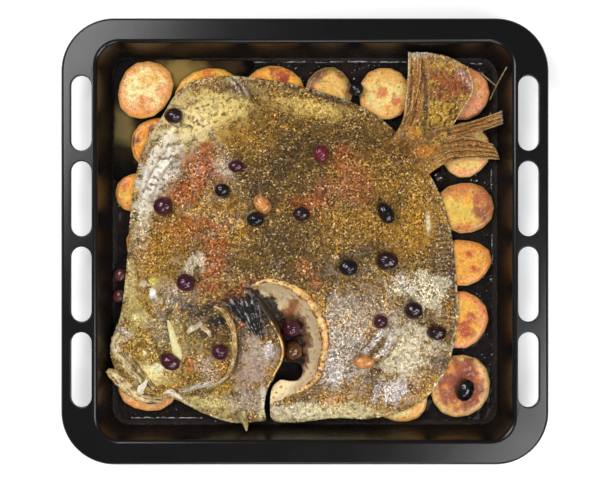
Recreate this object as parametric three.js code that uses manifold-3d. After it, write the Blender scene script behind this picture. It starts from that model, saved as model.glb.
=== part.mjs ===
// A whole turbot baked dark side up on potato slices, with olives over it, in its black
// enamelled oven tray. Millimetres, +Z up. The origin is the middle of the tray's underside;
// +X runs from the head to the tail and +Y from the belly to the back.
import * as THREE from 'three';
import { mergeVertices } from 'three/addons/utils/BufferGeometryUtils.js';
import Module from 'manifold-3d';

const wasm = await Module();
wasm.setup();

// ---------------------------------------------------------------- driving dimensions

const clearance = 0.3; // left between pieces that rest on each other

const tray = {
  halfLength: 225,
  halfWidth: 206,
  rimCorner: 49,
  depth: 38,
  sheet: 1.2,
  openingHalfLength: 194,
  openingHalfWidth: 185.5,
  openingCorner: 23.5,
};

const slot = { perSide: 4, pitch: 78.8, fromMiddle: 206, width: 19, length: 69, collar: 4 };

const fish = {
  middle: [-19, -8],
  crown: 42, // top of the thickest flesh
  finEdge: 13.2,
  finRoot: 16,
  finUnderside: 10.2,
  finWidth: 24,
  flankWidth: 110, // from the fin's root to the crown
  overhang: 48, // how far in the edge stays lifted on the potatoes
  head: [-150, -106],
  headSpread: 36,
  snoutLift: 5,
  browLift: 5,
};

const slice = { thickness: 8, edgeRound: 1.6, facets: 14 };
const juiceLevel = 5;
const twigWidth = 1.3;

const floorTop = tray.sheet + clearance; // where food that lies on the tray's floor starts

const colour = {
  enamel: 0x111113,
  skin: 0x6f6136,
  potato: 0xe0a345,
  olive: 0x2b1119,
  juice: 0x8a7440,
  herb: 0x8d7f58,
};

// ---------------------------------------------------------------- helpers

const { clamp, degToRad, lerp, smoothstep } = THREE.MathUtils;
const point = ([x, y], z) => new THREE.Vector3(x, y, z);

function seededRandom(seed) {
  let state = seed;
  return () => {
    state = (state * 16807) % 2147483647;
    return state / 2147483647;
  };
}

function signedVolume(vertices, faces) {
  const cross = new THREE.Vector3();
  return faces.reduce(
    (sum, [a, b, c]) => sum + vertices[a].dot(cross.crossVectors(vertices[b], vertices[c])) / 6,
    0,
  );
}

// A closed body from its vertices and triangles, turned so that its faces point out.
function body(vertices, faces) {
  const outward = signedVolume(vertices, faces) > 0;
  const geometry = new THREE.BufferGeometry().setFromPoints(vertices);
  geometry.setIndex(faces.flatMap(([a, b, c]) => (outward ? [a, b, c] : [a, c, b])));
  return geometry;
}

// A closed body through rings of equal count, with a fan over its first and last ring.
function loft(rings) {
  const count = rings[0].length;
  const vertices = rings.flat();
  const faces = [];
  for (let r = 0; r + 1 < rings.length; r += 1) {
    for (let i = 0; i < count; i += 1) {
      const a = r * count + i;
      const b = r * count + ((i + 1) % count);
      faces.push([a, b, b + count], [a, b + count, a + count]);
    }
  }
  const cap = (ring, start, turned) => {
    const centre = ring.reduce((sum, p) => sum.add(p), new THREE.Vector3()).divideScalar(count);
    const hub = vertices.push(centre) - 1;
    for (let i = 0; i < count; i += 1) {
      const [a, b] = [start + i, start + ((i + 1) % count)];
      faces.push(turned ? [hub, b, a] : [hub, a, b]);
    }
  };
  cap(rings[0], 0, true);
  cap(rings.at(-1), (rings.length - 1) * count, false);
  return body(vertices, faces);
}

// A thin closed sheet: surface(u, v) is its middle, and both faces are split alike.
function sheet(columns, rows, surface, thickness) {
  const vertices = [];
  const faces = [];
  const wide = columns + 1;
  const layer = wide * (rows + 1);
  for (const side of [1, -1]) {
    for (let j = 0; j <= rows; j += 1) {
      for (let i = 0; i <= columns; i += 1) {
        const [u, v] = [i / columns, j / rows];
        const p = surface(u, v);
        p.z += (side * thickness(u, v)) / 2;
        vertices.push(p);
      }
    }
  }
  for (let j = 0; j < rows; j += 1) {
    for (let i = 0; i < columns; i += 1) {
      const a = j * wide + i;
      for (const [p, q, r] of [[a, a + 1, a + wide + 1], [a, a + wide + 1, a + wide]]) {
        faces.push([p, q, r], [p + layer, r + layer, q + layer]);
      }
    }
  }
  const wall = (a, b) => faces.push([b, a, a + layer], [b, a + layer, b + layer]);
  for (let i = 0; i < columns; i += 1) {
    wall(i, i + 1);
    wall(rows * wide + i + 1, rows * wide + i);
  }
  for (let j = 0; j < rows; j += 1) {
    wall((j + 1) * wide, j * wide);
    wall(j * wide + columns, (j + 1) * wide + columns);
  }
  return body(vertices, faces);
}

// A tube through stations { at: Vector3, radius }, flattened to `flat` of its width.
function tube(stations, sides = 6, flat = 1) {
  const rings = stations.map(({ at, radius }, i) => {
    const next = stations[Math.min(i + 1, stations.length - 1)].at;
    const last = stations[Math.max(i - 1, 0)].at;
    const along = next.clone().sub(last).normalize();
    const across = new THREE.Vector3(0, 0, 1).cross(along).normalize();
    const over = along.clone().cross(across);
    return Array.from({ length: sides }, (_, k) => {
      const turn = (k / sides) * 2 * Math.PI;
      return at.clone()
        .addScaledVector(across, radius * Math.cos(turn))
        .addScaledVector(over, radius * flat * Math.sin(turn));
    });
  });
  return loft(rings);
}

function toSolid(geometry) {
  const bare = geometry.clone();
  bare.deleteAttribute('normal');
  bare.deleteAttribute('uv');
  const merged = mergeVertices(bare, 1e-4);
  return new wasm.Manifold(new wasm.Mesh({
    numProp: 3,
    vertProperties: new Float32Array(merged.attributes.position.array),
    triVerts: new Uint32Array(merged.index.array),
  }));
}

function toGeometry(solid) {
  const { vertProperties, triVerts } = solid.getMesh();
  const geometry = new THREE.BufferGeometry();
  geometry.setAttribute('position', new THREE.BufferAttribute(vertProperties, 3));
  geometry.setIndex(new THREE.BufferAttribute(triVerts, 1));
  return geometry;
}

const largest = (solid) => solid.decompose().reduce((a, b) => (a.volume() > b.volume() ? a : b));

// ---------------------------------------------------------------- oven tray

// Every ring round the tray: a rectangle with round corners, at one height.
function roundedRectangle(halfLength, halfWidth, corner, z, stepsPerCorner = 6) {
  const ring = [];
  for (let quarter = 0; quarter < 4; quarter += 1) {
    const [sx, sy] = [[1, 1], [-1, 1], [-1, -1], [1, -1]][quarter];
    for (let k = 0; k <= stepsPerCorner; k += 1) {
      const turn = ((quarter + k / stepsPerCorner) * Math.PI) / 2;
      ring.push(new THREE.Vector3(
        sx * (halfLength - corner) + corner * Math.cos(turn),
        sy * (halfWidth - corner) + corner * Math.sin(turn),
        z,
      ));
    }
  }
  return ring;
}

// The tray's upper surface from the floor out to the rim: `out` is counted from the edge of
// the opening, with the corner radius that the ring has there.
function traySection() {
  const rim = tray.halfLength - tray.openingHalfLength;
  return [
    { out: -15.5, z: tray.sheet, corner: 14 },
    { out: -12.1, z: tray.sheet + 1.4, corner: 16 },
    { out: -10.5, z: tray.sheet + 5, corner: 17 },
    { out: -3.4, z: tray.depth - 5, corner: 21 },
    { out: -2.2, z: tray.depth - 1.6, corner: 22 },
    { out: 0, z: tray.depth, corner: tray.openingCorner },
    { out: rim - 3.5, z: tray.depth, corner: tray.rimCorner - 3 },
    { out: rim - 1, z: tray.depth - 1.2, corner: tray.rimCorner - 1 },
    { out: rim, z: tray.depth - 3.6, corner: tray.rimCorner },
    { out: rim, z: tray.depth - 5.5, corner: tray.rimCorner },
  ];
}

// The same section moved down and out by the sheet's thickness, mitred at its corners.
function traySectionBelow(section) {
  const levelFloor = new THREE.Vector2(0, -1);
  const normals = [levelFloor, ...section.slice(1).map((b, i) => {
    const a = section[i];
    return new THREE.Vector2(b.z - a.z, a.out - b.out).normalize();
  })];
  return section.map((here, i) => {
    const before = normals[i];
    const after = normals[Math.min(i + 1, normals.length - 1)];
    const mitre = before.clone().add(after).normalize();
    mitre.multiplyScalar(tray.sheet / mitre.dot(after));
    return { out: here.out + mitre.x, z: here.z + mitre.y, corner: here.corner + mitre.x };
  });
}

// The flange is wider at the sides than at the front and back, so `out` is stretched there.
function trayRing({ out, z, corner }) {
  const flange = tray.halfLength - tray.openingHalfLength;
  const narrow = (tray.halfWidth - tray.openingHalfWidth) / flange;
  const outWide = out > 0 ? out * narrow : out;
  return roundedRectangle(tray.openingHalfLength + out, tray.openingHalfWidth + outWide, corner, z);
}

function stadium(halfWidth, halfLength, z, steps = 5) {
  const ring = [];
  for (const end of [1, -1]) {
    for (let k = 0; k <= steps; k += 1) {
      const turn = (k / steps) * Math.PI + (end > 0 ? 0 : Math.PI);
      ring.push(new THREE.Vector3(
        halfWidth * Math.cos(turn),
        end * (halfLength - halfWidth) + halfWidth * Math.sin(turn),
        z,
      ));
    }
  }
  return ring;
}

// Grip slots through the flange, each with its sheet turned down round the hole.
function slotPlaces() {
  const places = [];
  for (const side of [-1, 1]) {
    for (let k = 0; k < slot.perSide; k += 1) {
      places.push([side * slot.fromMiddle, (k - (slot.perSide - 1) / 2) * slot.pitch]);
    }
  }
  return places;
}

function ovenTray() {
  const above = traySection();
  const below = traySectionBelow(above);
  const shell = loft([...below.map(trayRing), ...above.toReversed().map(trayRing)]);
  let solid = toSolid(shell);
  const [halfWidth, halfLength] = [slot.width / 2, slot.length / 2];
  const wrap = tray.sheet;
  const collar = toSolid(loft([
    stadium(halfWidth + wrap, halfLength + wrap, tray.depth - slot.collar - wrap),
    stadium(halfWidth + wrap, halfLength + wrap, tray.depth - wrap / 2),
  ]));
  const opening = toSolid(loft([
    stadium(halfWidth, halfLength, tray.depth - 3 * slot.collar),
    stadium(halfWidth, halfLength, tray.depth - slot.collar),
    stadium(halfWidth, halfLength, tray.depth + slot.collar),
  ]));
  for (const [x, y] of slotPlaces()) {
    solid = solid.add(collar.translate([x, y, 0]));
    solid = solid.subtract(opening.translate([x, y, 0]));
  }
  return solid;
}

// ---------------------------------------------------------------- turbot: its outline

// Counted anticlockwise from the root of the tail: the dorsal fin along the back, the
// snout and jaws at the near left, the belly spines and the anal fin.
const backEdge = [
  [81, 108], [58, 125], [16, 141], [-31, 152], [-78, 156], [-115, 146],
  [-135, 118], [-155, 81], [-164, 33], [-168, -18], [-174, -70],
];
const headEdge = [[-181, -90], [-183, -108], [-166, -141], [-146, -152], [-127, -148]];
const bellyEdge = [
  [-94, -163], [-69, -171], [-44, -170], [-38, -157], [-32, -162], [-14, -171], [28, -167],
  [66, -167], [109, -152], [133, -122], [145, -72], [144, -46], [136, 20], [118, 63],
];

function outlinePoints(count) {
  const corners = [...backEdge, ...headEdge, ...bellyEdge].map((p) => point(p, 0));
  const curve = new THREE.CatmullRomCurve3(corners, true, 'centripetal');
  return curve.getSpacedPoints(count).slice(0, count);
}

const outline = outlinePoints(92);

// The sides that carry a fin or the head: all but those across the root of the tail.
const tailRoot = { at: new THREE.Vector3(101, 87, 0), halfWidth: 25 };
const freeSides = outline
  .map((start, i) => new THREE.Line3(start, outline[(i + 1) % outline.length]))
  .filter((side) => (
    side.getCenter(new THREE.Vector3()).distanceTo(tailRoot.at) > tailRoot.halfWidth
  ));

function edgeDistance(x, y) {
  const here = new THREE.Vector3(x, y, 0);
  const nearest = new THREE.Vector3();
  return Math.min(...freeSides.map((side) => {
    side.closestPointToPoint(here, true, nearest);
    return nearest.distanceTo(here);
  }));
}

const mound = (x, y, [cx, cy], spread) => (
  Math.exp(-((x - cx) ** 2 + (y - cy) ** 2) / (2 * spread ** 2))
);

// Broad swellings and hollows of the flesh: { at, spread, rise }.
const swellings = [
  { at: [-112, -96], spread: 24, rise: 3.5 }, // cheek and gill cover
  { at: [-16, -36], spread: 15, rise: 3 }, // flesh curling up over the cut
  { at: [56, -104], spread: 12, rise: -4 }, // sunken spot in the belly
  { at: [104, 96], spread: 26, rise: 5 }, // root of the tail
  { at: [52, 52], spread: 34, rise: 2 },
];

function skinHeight(x, y) {
  const inward = edgeDistance(x, y);
  const fin = lerp(fish.finEdge, fish.finRoot, smoothstep(inward, 0, fish.finWidth));
  const rise = clamp((inward - fish.finWidth * 0.8) / fish.flankWidth, 0, 1);
  const flank = (fish.crown - fish.finRoot) * Math.sin((rise * Math.PI) / 2);
  const inside = smoothstep(inward, 0, fish.finWidth);
  const head = mound(x, y, fish.head, fish.headSpread)
    * (fish.snoutLift + fish.browLift * inside);
  const relief = swellings.reduce((sum, s) => sum + s.rise * mound(x, y, s.at, s.spread), 0);
  return fin + flank + head + relief * inside;
}

const onSkin = (p, lift = 0) => point(p, skinHeight(...p) + lift);

// The underside hangs level over the potatoes and goes down to the floor inside them.
function undersideHeight(x, y) {
  const down = smoothstep(edgeDistance(x, y), fish.overhang, fish.overhang + 18);
  return lerp(fish.finUnderside, floorTop, down);
}

function fishBody() {
  const ring = (share, height) => outline.map((edge) => {
    const x = lerp(edge.x, fish.middle[0], share);
    const y = lerp(edge.y, fish.middle[1], share);
    return new THREE.Vector3(x, y, height(x, y));
  });
  const top = [0, 0.05, 0.12, 0.19, 0.27, 0.36, 0.46, 0.57, 0.7, 0.85];
  const bottom = [0.75, 0.42, 0.27, 0];
  return loft([
    ...bottom.map((share) => ring(share, undersideHeight)),
    ...top.map((share) => ring(share, skinHeight)),
  ]);
}

// ---------------------------------------------------------------- turbot: head

const eyes = [{ at: [-156, -72], radius: 9 }, { at: [-150, -103], radius: 8.5 }];

function eye({ at, radius }) {
  return new THREE.SphereGeometry(1, 10, 8)
    .rotateX(Math.PI / 2)
    .scale(radius, radius * 0.9, radius * 0.7)
    .translate(...onSkin(at, -radius * 0.12).toArray());
}

const strand = (rows) => rows.map(([x, y, z, radius]) => ({ at: point([x, y], z), radius }));

// Jaws, lips and bones that show, as [x, y, lift over the skin, radius] along each.
const bone = (rows) => rows.map(([x, y, lift, radius]) => ({ at: onSkin([x, y], lift), radius }));
const upperLip = bone([
  [-173, -89, 0, 6], [-181, -103, 1, 4.4], [-171, -115, 0.5, 4.4],
  [-159, -128, 0, 4], [-149, -138, 0, 3],
]);
const cheekBand = bone([
  [-167, -103, 0.5, 3.6], [-157, -116, 0.5, 3.6], [-147, -129, 0.3, 3.2], [-142, -138, 0, 2.4],
]);
const lowerJaw = bone([
  [-184.5, -120, 7, 2], [-179, -125, 4.5, 4.6], [-166, -138, 1.5, 5.4],
  [-150, -148, 0.5, 4.4], [-134, -149.5, 0, 2.6],
]);
const cheekBone = bone([
  [-124, -74, -0.4, 1], [-122.5, -84, 0, 2.2], [-119, -97, 0, 2.4], [-115, -108, -0.4, 1.4],
]);
const bellySpine = bone([[-60, -161, 1, 5], [-56, -171, 5, 2.6], [-54.5, -176.8, 10, 0.8]]);

function mouthGap() {
  return tube(strand([[-191, -110, 20, 3.2], [-176, -119.5, 21, 2], [-165, -130.5, 21, 0.9]]), 6, 1.6);
}

// ---------------------------------------------------------------- turbot: gill cover and fin

const gillEdge = [
  [-92, -57], [-77, -63], [-68, -74], [-64, -89], [-64, -104], [-66, -117], [-74, -128], [-88, -137],
];

const alongSkin = (route, lift, radii) => route.map((p, i) => ({
  at: onSkin(p, lift),
  radius: radii(i / (route.length - 1)),
}));

const bulge = (share) => Math.sin(Math.PI * share);

function gillCoverRim() {
  const inner = gillEdge.map(([x, y]) => [x - 4, y + 1]);
  return tube(alongSkin(inner, 0.6, (s) => 0.8 + 3.4 * bulge(s)), 6, 0.7);
}

function gillGroove() {
  return tube(alongSkin(gillEdge, 0.4, (s) => 0.8 + 2 * bulge(s)), 6, 1.4);
}

// The side fin, folded back over the gill opening.
function sideFin() {
  const [root, tip] = [[[-37, -92], [-50, -84]], [[-44, -47], [-75, -52]]];
  const surface = (u, v) => {
    const x = lerp(lerp(root[0][0], root[1][0], u), lerp(tip[0][0], tip[1][0], u), v);
    const y = lerp(lerp(root[0][1], root[1][1], u), lerp(tip[0][1], tip[1][1], u), v);
    const ray = 0.5 * Math.cos(u * 10 * Math.PI);
    return onSkin([x, y], 0.4 + ray);
  };
  return sheet(10, 4, surface, () => 2.4);
}

// ---------------------------------------------------------------- turbot: the cut in the belly

// Stations down the crescent cut: its head-side edge, its body-side edge, the share of the
// width where the sloping flap meets the hollow, and the hollow's depth.
const cutStations = [
  { left: [-52, -45], right: [-50, -41], shelf: 0.4, floor: 26 },
  { left: [-45, -53], right: [-36, -37], shelf: 0.42, floor: 16 },
  { left: [-36, -65], right: [-14, -43], shelf: 0.36, floor: 11 },
  { left: [-28, -79], right: [2, -56], shelf: 0.3, floor: 9 },
  { left: [-22, -91], right: [12, -73], shelf: 0.56, floor: 8 },
  { left: [-20, -101], right: [16, -91], shelf: 0.56, floor: 7 },
  { left: [-22, -112], right: [14, -111], shelf: 0.68, floor: 7 },
  { left: [-28, -124], right: [8, -129], shelf: 0.72, floor: 7 },
  { left: [-34, -136], right: [-9, -142], shelf: 0.6, floor: 7 },
  { left: [-38, -150], right: [-30, -152], shelf: 0.6, floor: 7 },
  { left: [-39, -178], right: [-36, -178], shelf: 0.6, floor: 7 },
];

function bellyCut() {
  const open = fish.crown + 20;
  const between = ([ax, ay], [bx, by], share) => [lerp(ax, bx, share), lerp(ay, by, share)];
  return loft(cutStations.map(({ left, right, shelf, floor }) => {
    const skin = Math.max(skinHeight(...right) + 0.5, floor + 3);
    return [
      point(left, open),
      point(left, floor),
      point(between(left, right, shelf), floor),
      point(between(left, right, lerp(shelf, 1, 0.55)), lerp(floor, skin, 0.42)),
      point(right, skin),
      point(right, open),
    ];
  }));
}

// The thick curled lip on the body side and the thin edge on the head side.
function cutLip() {
  const route = cutStations.slice(0, 9).map(({ right: [x, y] }) => [x + 2, y + 1]);
  return tube(alongSkin(route, 0.4, (s) => 1 + 3 * bulge(s)), 6, 0.8);
}

function cutEdge() {
  const route = cutStations.slice(1, 9).map(({ left: [x, y] }) => [x - 0.8, y]);
  return tube(alongSkin(route, 0.2, (s) => 0.8 + 0.9 * bulge(s)), 6, 0.9);
}

// ---------------------------------------------------------------- turbot: tail

// Each lobe of the tail fin lies between two edges, from its root to its tip, and is
// folded along its rays. `bow` rounds the tip outward.
const tailLobes = [
  {
    left: [[78, 92, 15], [91, 112, 16], [95, 134, 15], [96.5, 154, 18], [96, 176, 27.5]],
    right: [[110, 66, 13.5], [130, 94, 17], [147, 122, 15], [158, 142, 16], [152, 164, 21]],
    rays: 7,
    bow: 5,
  },
  {
    left: [[90, 84, 15], [122, 105, 17.5], [146, 110, 16], [170, 117, 17.5], [184.5, 122, 23]],
    right: [[104, 70, 13.5], [134, 92, 15.5], [152, 99, 14], [170, 105, 15.5], [185.5, 110, 23]],
    rays: 3,
    bow: 0,
  },
  {
    left: [[96, 80, 14.5], [128, 95, 16], [148, 98, 13.5], [164, 96, 13.5], [177, 91, 16.5]],
    right: [[110, 58, 11.5], [130, 72, 13.5], [148, 77, 13], [166, 78, 13.5], [183, 77, 17]],
    rays: 4,
    bow: 1,
  },
];

function tailLobe({ left, right, rays, bow }) {
  const edges = [left, right].map((rows) => (
    new THREE.CatmullRomCurve3(rows.map(([x, y, z]) => point([x, y], z)), false, 'centripetal')
  ));
  const outward = edges[0].getPoint(1).add(edges[1].getPoint(1))
    .sub(edges[0].getPoint(0)).sub(edges[1].getPoint(0)).setZ(0).normalize();
  const surface = (u, v) => {
    const p = edges[0].getPoint(v).lerp(edges[1].getPoint(v), u);
    p.addScaledVector(outward, bow * v * v * bulge(u));
    p.z += 0.8 * Math.cos(2 * Math.PI * rays * u) * Math.min(1, 2 * v);
    return p;
  };
  return sheet(2 * rays, 6, surface, (u, v) => lerp(5, 2.2, Math.min(1, 2 * v)));
}

function turbot() {
  const added = [
    ...eyes.map(eye),
    ...[upperLip, cheekBand, lowerJaw, cheekBone, bellySpine].map((bone) => tube(bone, 6, 0.85)),
    gillCoverRim(), sideFin(), cutLip(), cutEdge(),
    ...tailLobes.map(tailLobe),
  ];
  let solid = added.reduce((sum, geometry) => sum.add(toSolid(geometry)), toSolid(fishBody()));
  for (const geometry of [mouthGap(), gillGroove(), bellyCut()]) {
    solid = solid.subtract(toSolid(geometry));
  }
  return solid;
}

// ---------------------------------------------------------------- potato slices

// One row per slice, clockwise from the back left corner: its middle, its half lengths, the
// turn of its long axis in degrees and, where it has one, its blunt point { to, by }.
const slices = [
  { at: [-151, 143], half: [29, 26], turn: 60, tilt: 8, raised: -80, lift: 4.3 },
  { at: [-92, 138], half: [33, 27], turn: 15 },
  { at: [-28, 145], half: [27, 22], turn: 0, point: { to: 150, by: 3 } },
  { at: [23, 144], half: [22, 22], turn: 0 },
  { at: [76, 140], half: [25, 26], turn: 0 },
  { at: [149, 141], half: [26, 27], turn: 0 },
  { at: [152, 87], half: [24, 27], turn: 0 },
  { at: [153.5, 32], half: [26, 25], turn: 0, point: { to: 170, by: 4 } },
  { at: [149, -20], half: [25, 23], turn: 0, point: { to: 10, by: 4 } },
  { at: [147, -74], half: [27, 28], turn: 0 },
  { at: [147, -137], half: [29, 31], turn: -20 },
  { at: [91, -150], half: [26, 22.5], turn: 0 },
  { at: [-148, -136], half: [29, 26.5], turn: 10 },
  { at: [-147, -3], half: [25, 23], turn: 90 },
  { at: [-160, 46], half: [20, 19.5], turn: 0 },
  { at: [-140, 93], half: [26, 25], turn: 30 },
];

// A slice, or with `grown` the room that it takes up in the juices round it.
function potatoSlice(row, index, grown = 0) {
  const random = seededRandom(index * 7 + 11);
  const phases = [2, 3, 4].map(() => random() * 2 * Math.PI);
  const ring = (inset, z) => Array.from({ length: slice.facets }, (_, k) => {
    const angle = (k / slice.facets) * 2 * Math.PI;
    const uneven = phases.reduce((sum, phase, n) => sum + Math.cos((n + 2) * angle + phase), 0);
    const blunt = row.point
      ? row.point.by * Math.exp(-((1 - Math.cos(angle - degToRad(row.point.to))) * 6))
      : 0;
    const grow = 0.5 * uneven + blunt - inset + grown;
    return new THREE.Vector3(
      (row.half[0] + grow) * Math.cos(angle),
      (row.half[1] + grow) * Math.sin(angle),
      z,
    );
  });
  const { thickness, edgeRound } = slice;
  const geometry = loft([
    ring(2 * edgeRound, -grown),
    ring(0, 2 * edgeRound),
    ring(0.6, thickness - edgeRound),
    ring(2 * edgeRound, thickness + grown),
  ]);
  geometry.rotateZ(degToRad(row.turn ?? 0));
  if (row.tilt) {
    const raised = degToRad(row.raised);
    const hinge = new THREE.Vector3(Math.sin(raised), -Math.cos(raised), 0);
    geometry.applyMatrix4(new THREE.Matrix4().makeRotationAxis(hinge, degToRad(row.tilt)));
  }
  return geometry.translate(row.at[0], row.at[1], floorTop + (row.lift ?? 0));
}

const sliceTop = floorTop + slice.thickness;

// ---------------------------------------------------------------- olives

// One row per olive: its middle, its half length and half width, its turn in degrees and
// what carries it. Those on the fish and the potatoes have sunk a little way in.
const olives = [
  { at: [-123, 118], half: [9, 7.5] },
  { at: [-63, 69], half: [7.5, 5.6] },
  { at: [-76, 47], half: [7, 6.5] },
  { at: [-132, 33], half: [9.6, 8.8] },
  { at: [-39, 34], half: [10, 7], turn: -50 },
  { at: [-45, 20], half: [8.4, 7] },
  { at: [-3, 25], half: [8, 6.5] },
  { at: [15, 81], half: [8.4, 7.5], turn: 90 },
  { at: [75, 26], half: [11, 7], turn: -60 },
  { at: [40, -24], half: [9, 7.5] },
  { at: [76, -18], half: [10.6, 8.8] },
  { at: [101, -64], half: [8.8, 8.4] },
  { at: [70, -74], half: [7, 6.5] },
  { at: [124, -86], half: [9.4, 7] },
  { at: [55, -112], half: [10.2, 6.5] },
  { at: [151, -140], half: [11, 8.4], turn: 70, on: 'slice' },
  { at: [-110, -38], half: [9, 8.4] },
  { at: [-124, -111], half: [9.8, 7.5], turn: -20 },
  { at: [-78, -102], half: [8, 7.5] },
  { at: [-13, -82], half: [8.8, 8.4], z: 17 },
  { at: [-11, -103], half: [8.8, 8.8], z: 15.5 },
  { at: [-175, -32], half: [6.6, 6.2], z: floorTop + 4.6 },
  { at: [-176, -52], half: [6.8, 6.2], z: floorTop + 4.6 },
  { at: [48.5, 143], half: [7.4, 6.6], z: 15 },
  { at: [127, 62], half: [7, 6.4], z: floorTop + 4.6 },
];

function olivePlace({ at: [x, y], half, on, z }) {
  const sunk = 0.5 * half[1];
  const carried = on === 'slice' ? sliceTop : skinHeight(x, y);
  return [x, y, z ?? carried + sunk];
}

function olive(row, grown = 0) {
  const [long, short] = row.half.map((half) => half + grown);
  const tall = row.z ? Math.min(short, row.z - floorTop + grown) : short;
  return new THREE.SphereGeometry(1, 8, 6)
    .rotateZ(Math.PI / 2)
    .scale(long, short, tall)
    .rotateZ(degToRad(row.turn ?? 0))
    .translate(...olivePlace(row));
}

// ---------------------------------------------------------------- pan juices and herb

// The pool that has run into the back left corner, up to its level on the tray's wall.
function panJuices(sliceRooms) {
  const pool = (level, inset) => {
    const wallX = -(tray.openingHalfLength - inset);
    const wallY = tray.openingHalfWidth - inset;
    const corner = 14;
    const ring = [point([wallX, 58], level)];
    for (let k = 0; k <= 4; k += 1) {
      const turn = Math.PI - (k / 4) * (Math.PI / 2);
      ring.push(new THREE.Vector3(
        wallX + corner + corner * Math.cos(turn),
        wallY - corner + corner * Math.sin(turn),
        level,
      ));
    }
    const shore = [
      [-48, wallY - 1], [-52, 163], [-62, 150], [-100, 130], [-128, 104], [-148, 76], [-166, 60],
    ];
    return [...ring, ...shore.map((p) => point(p, level))];
  };
  const filled = toSolid(loft([pool(floorTop, 16.2), pool(juiceLevel, 12)]));
  return largest(sliceRooms.reduce((rest, room) => rest.subtract(room), filled));
}

// A dried herb stem with one side twig, leaning in the back right corner.
function herbStem() {
  const radius = twigWidth / 2;
  const knee = [180.5, 146.5, 14];
  const branch = (...rows) => tube(strand(rows.map((row) => [...row, radius])), 5);
  return [
    branch([176, 134, 3.4], knee, [186.4, 161, 34.5]),
    branch(knee, [172.5, 154, 11.6], [165, 160.5, 10.8]),
  ].map(toSolid).reduce((a, b) => a.add(b));
}

// ---------------------------------------------------------------- the dish

const finish = (hex, roughness, metalness = 0) => (
  new THREE.MeshStandardMaterial({ color: hex, roughness, metalness })
);

const baked = new THREE.Group();

function place(name, solid, material) {
  const geometry = toGeometry(solid);
  geometry.computeVertexNormals();
  const mesh = new THREE.Mesh(geometry, material);
  mesh.name = name;
  baked.add(mesh);
}

const numbered = (name, index) => `${name}_${String(index + 1).padStart(2, '0')}`;

// Olives press their own dents into the fish and the slices.
const dents = olives.map((row) => toSolid(olive(row, clearance)));
const dented = (solid) => dents.reduce((rest, dent) => rest.subtract(dent), solid);

place('oven_tray', ovenTray(), finish(colour.enamel, 0.25, 0.1));
place('turbot', largest(dented(turbot())), finish(colour.skin, 0.45));
slices.forEach((row, index) => {
  const solid = dented(toSolid(potatoSlice(row, index)));
  place(numbered('potato_slice', index), solid, finish(colour.potato, 0.5));
});
olives.forEach((row, index) => {
  place(numbered('olive', index), toSolid(olive(row)), finish(colour.olive, 0.2));
});
const sliceRoom = slices.map((row, index) => toSolid(potatoSlice(row, index, clearance)));
place('pan_juices', panJuices(sliceRoom), finish(colour.juice, 0.15));
place('herb_stem', herbStem(), finish(colour.herb, 0.8));

export default baked;
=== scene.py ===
"""A whole turbot baked on potato slices, with olives, in its black enamelled oven tray.

Sizes are in millimetres, and MM turns them into Blender's metres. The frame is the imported
part's: the origin is the middle of the tray's underside, +X runs from the head to the tail,
+Y from the belly to the back and +Z up.
"""

import itertools
import logging
import math
from collections.abc import Callable
from dataclasses import dataclass, field
from enum import Enum

import bmesh
import bpy
import numpy as np
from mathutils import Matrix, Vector, geometry


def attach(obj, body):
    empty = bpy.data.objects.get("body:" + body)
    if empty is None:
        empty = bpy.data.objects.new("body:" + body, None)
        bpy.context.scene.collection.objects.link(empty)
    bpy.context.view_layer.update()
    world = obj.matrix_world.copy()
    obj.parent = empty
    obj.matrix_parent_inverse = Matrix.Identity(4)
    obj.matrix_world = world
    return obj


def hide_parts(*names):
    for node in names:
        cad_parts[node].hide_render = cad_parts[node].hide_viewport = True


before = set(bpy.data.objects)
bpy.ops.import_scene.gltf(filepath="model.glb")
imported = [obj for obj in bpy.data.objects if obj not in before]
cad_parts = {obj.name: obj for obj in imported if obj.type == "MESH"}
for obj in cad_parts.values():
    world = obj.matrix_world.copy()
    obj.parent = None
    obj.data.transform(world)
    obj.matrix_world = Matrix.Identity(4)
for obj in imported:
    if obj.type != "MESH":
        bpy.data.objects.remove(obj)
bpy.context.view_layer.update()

MM = 0.001
IMAGE_WIDTH = 607

Rgb = tuple[int, int, int]
Colour = Rgb | Enum
Place = tuple[float, float]
Spot = tuple[float, float, float]
Socket = bpy.types.NodeSocket
NO_TONE = (0, 0, 0)

log = logging.getLogger("baked_turbot")


# ------------------------------------------------------------------ numbers and curves


def linear(colour: Colour) -> np.ndarray:
    """Turns a display colour into the linear one that the shaders use.

    Args:
        colour: Red, green and blue, each 0 to 255, or a named tone.

    Returns:
        Red, green and blue, each 0 to 1.
    """
    share = np.array(colour.value if isinstance(colour, Enum) else colour, float) / 255
    return np.where(share <= 0.04045, share / 12.92, ((share + 0.055) / 1.055) ** 2.4)


def ease(value: np.ndarray, low: float, high: float) -> np.ndarray:
    """Goes smoothly from 0 at `low` to 1 at `high`.

    Args:
        value: The numbers to ease.
        low: Where the result is 0.
        high: Where the result is 1.

    Returns:
        One share for each number.
    """
    share = np.clip((np.asarray(value, float) - low) / (high - low), 0, 1)
    return share * share * (3 - 2 * share)


def level(points: np.ndarray) -> np.ndarray:
    """Puts points at height zero, whether they had a height or not."""
    return np.column_stack([points[:, :2], np.zeros(len(points))])


def blend(a: Colour | np.ndarray, b: Colour | np.ndarray, share: np.ndarray) -> np.ndarray:
    """Mixes colours row by row.

    Args:
        a: One display colour, or linear colours, one row each.
        b: The same, mixed into them.
        share: How much of `b`, one number a row.

    Returns:
        The mixed linear colours, one row each.
    """
    a, b = (colour if isinstance(colour, np.ndarray) else linear(colour) for colour in (a, b))
    return a + (b - a) * np.asarray(share)[:, None]


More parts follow.
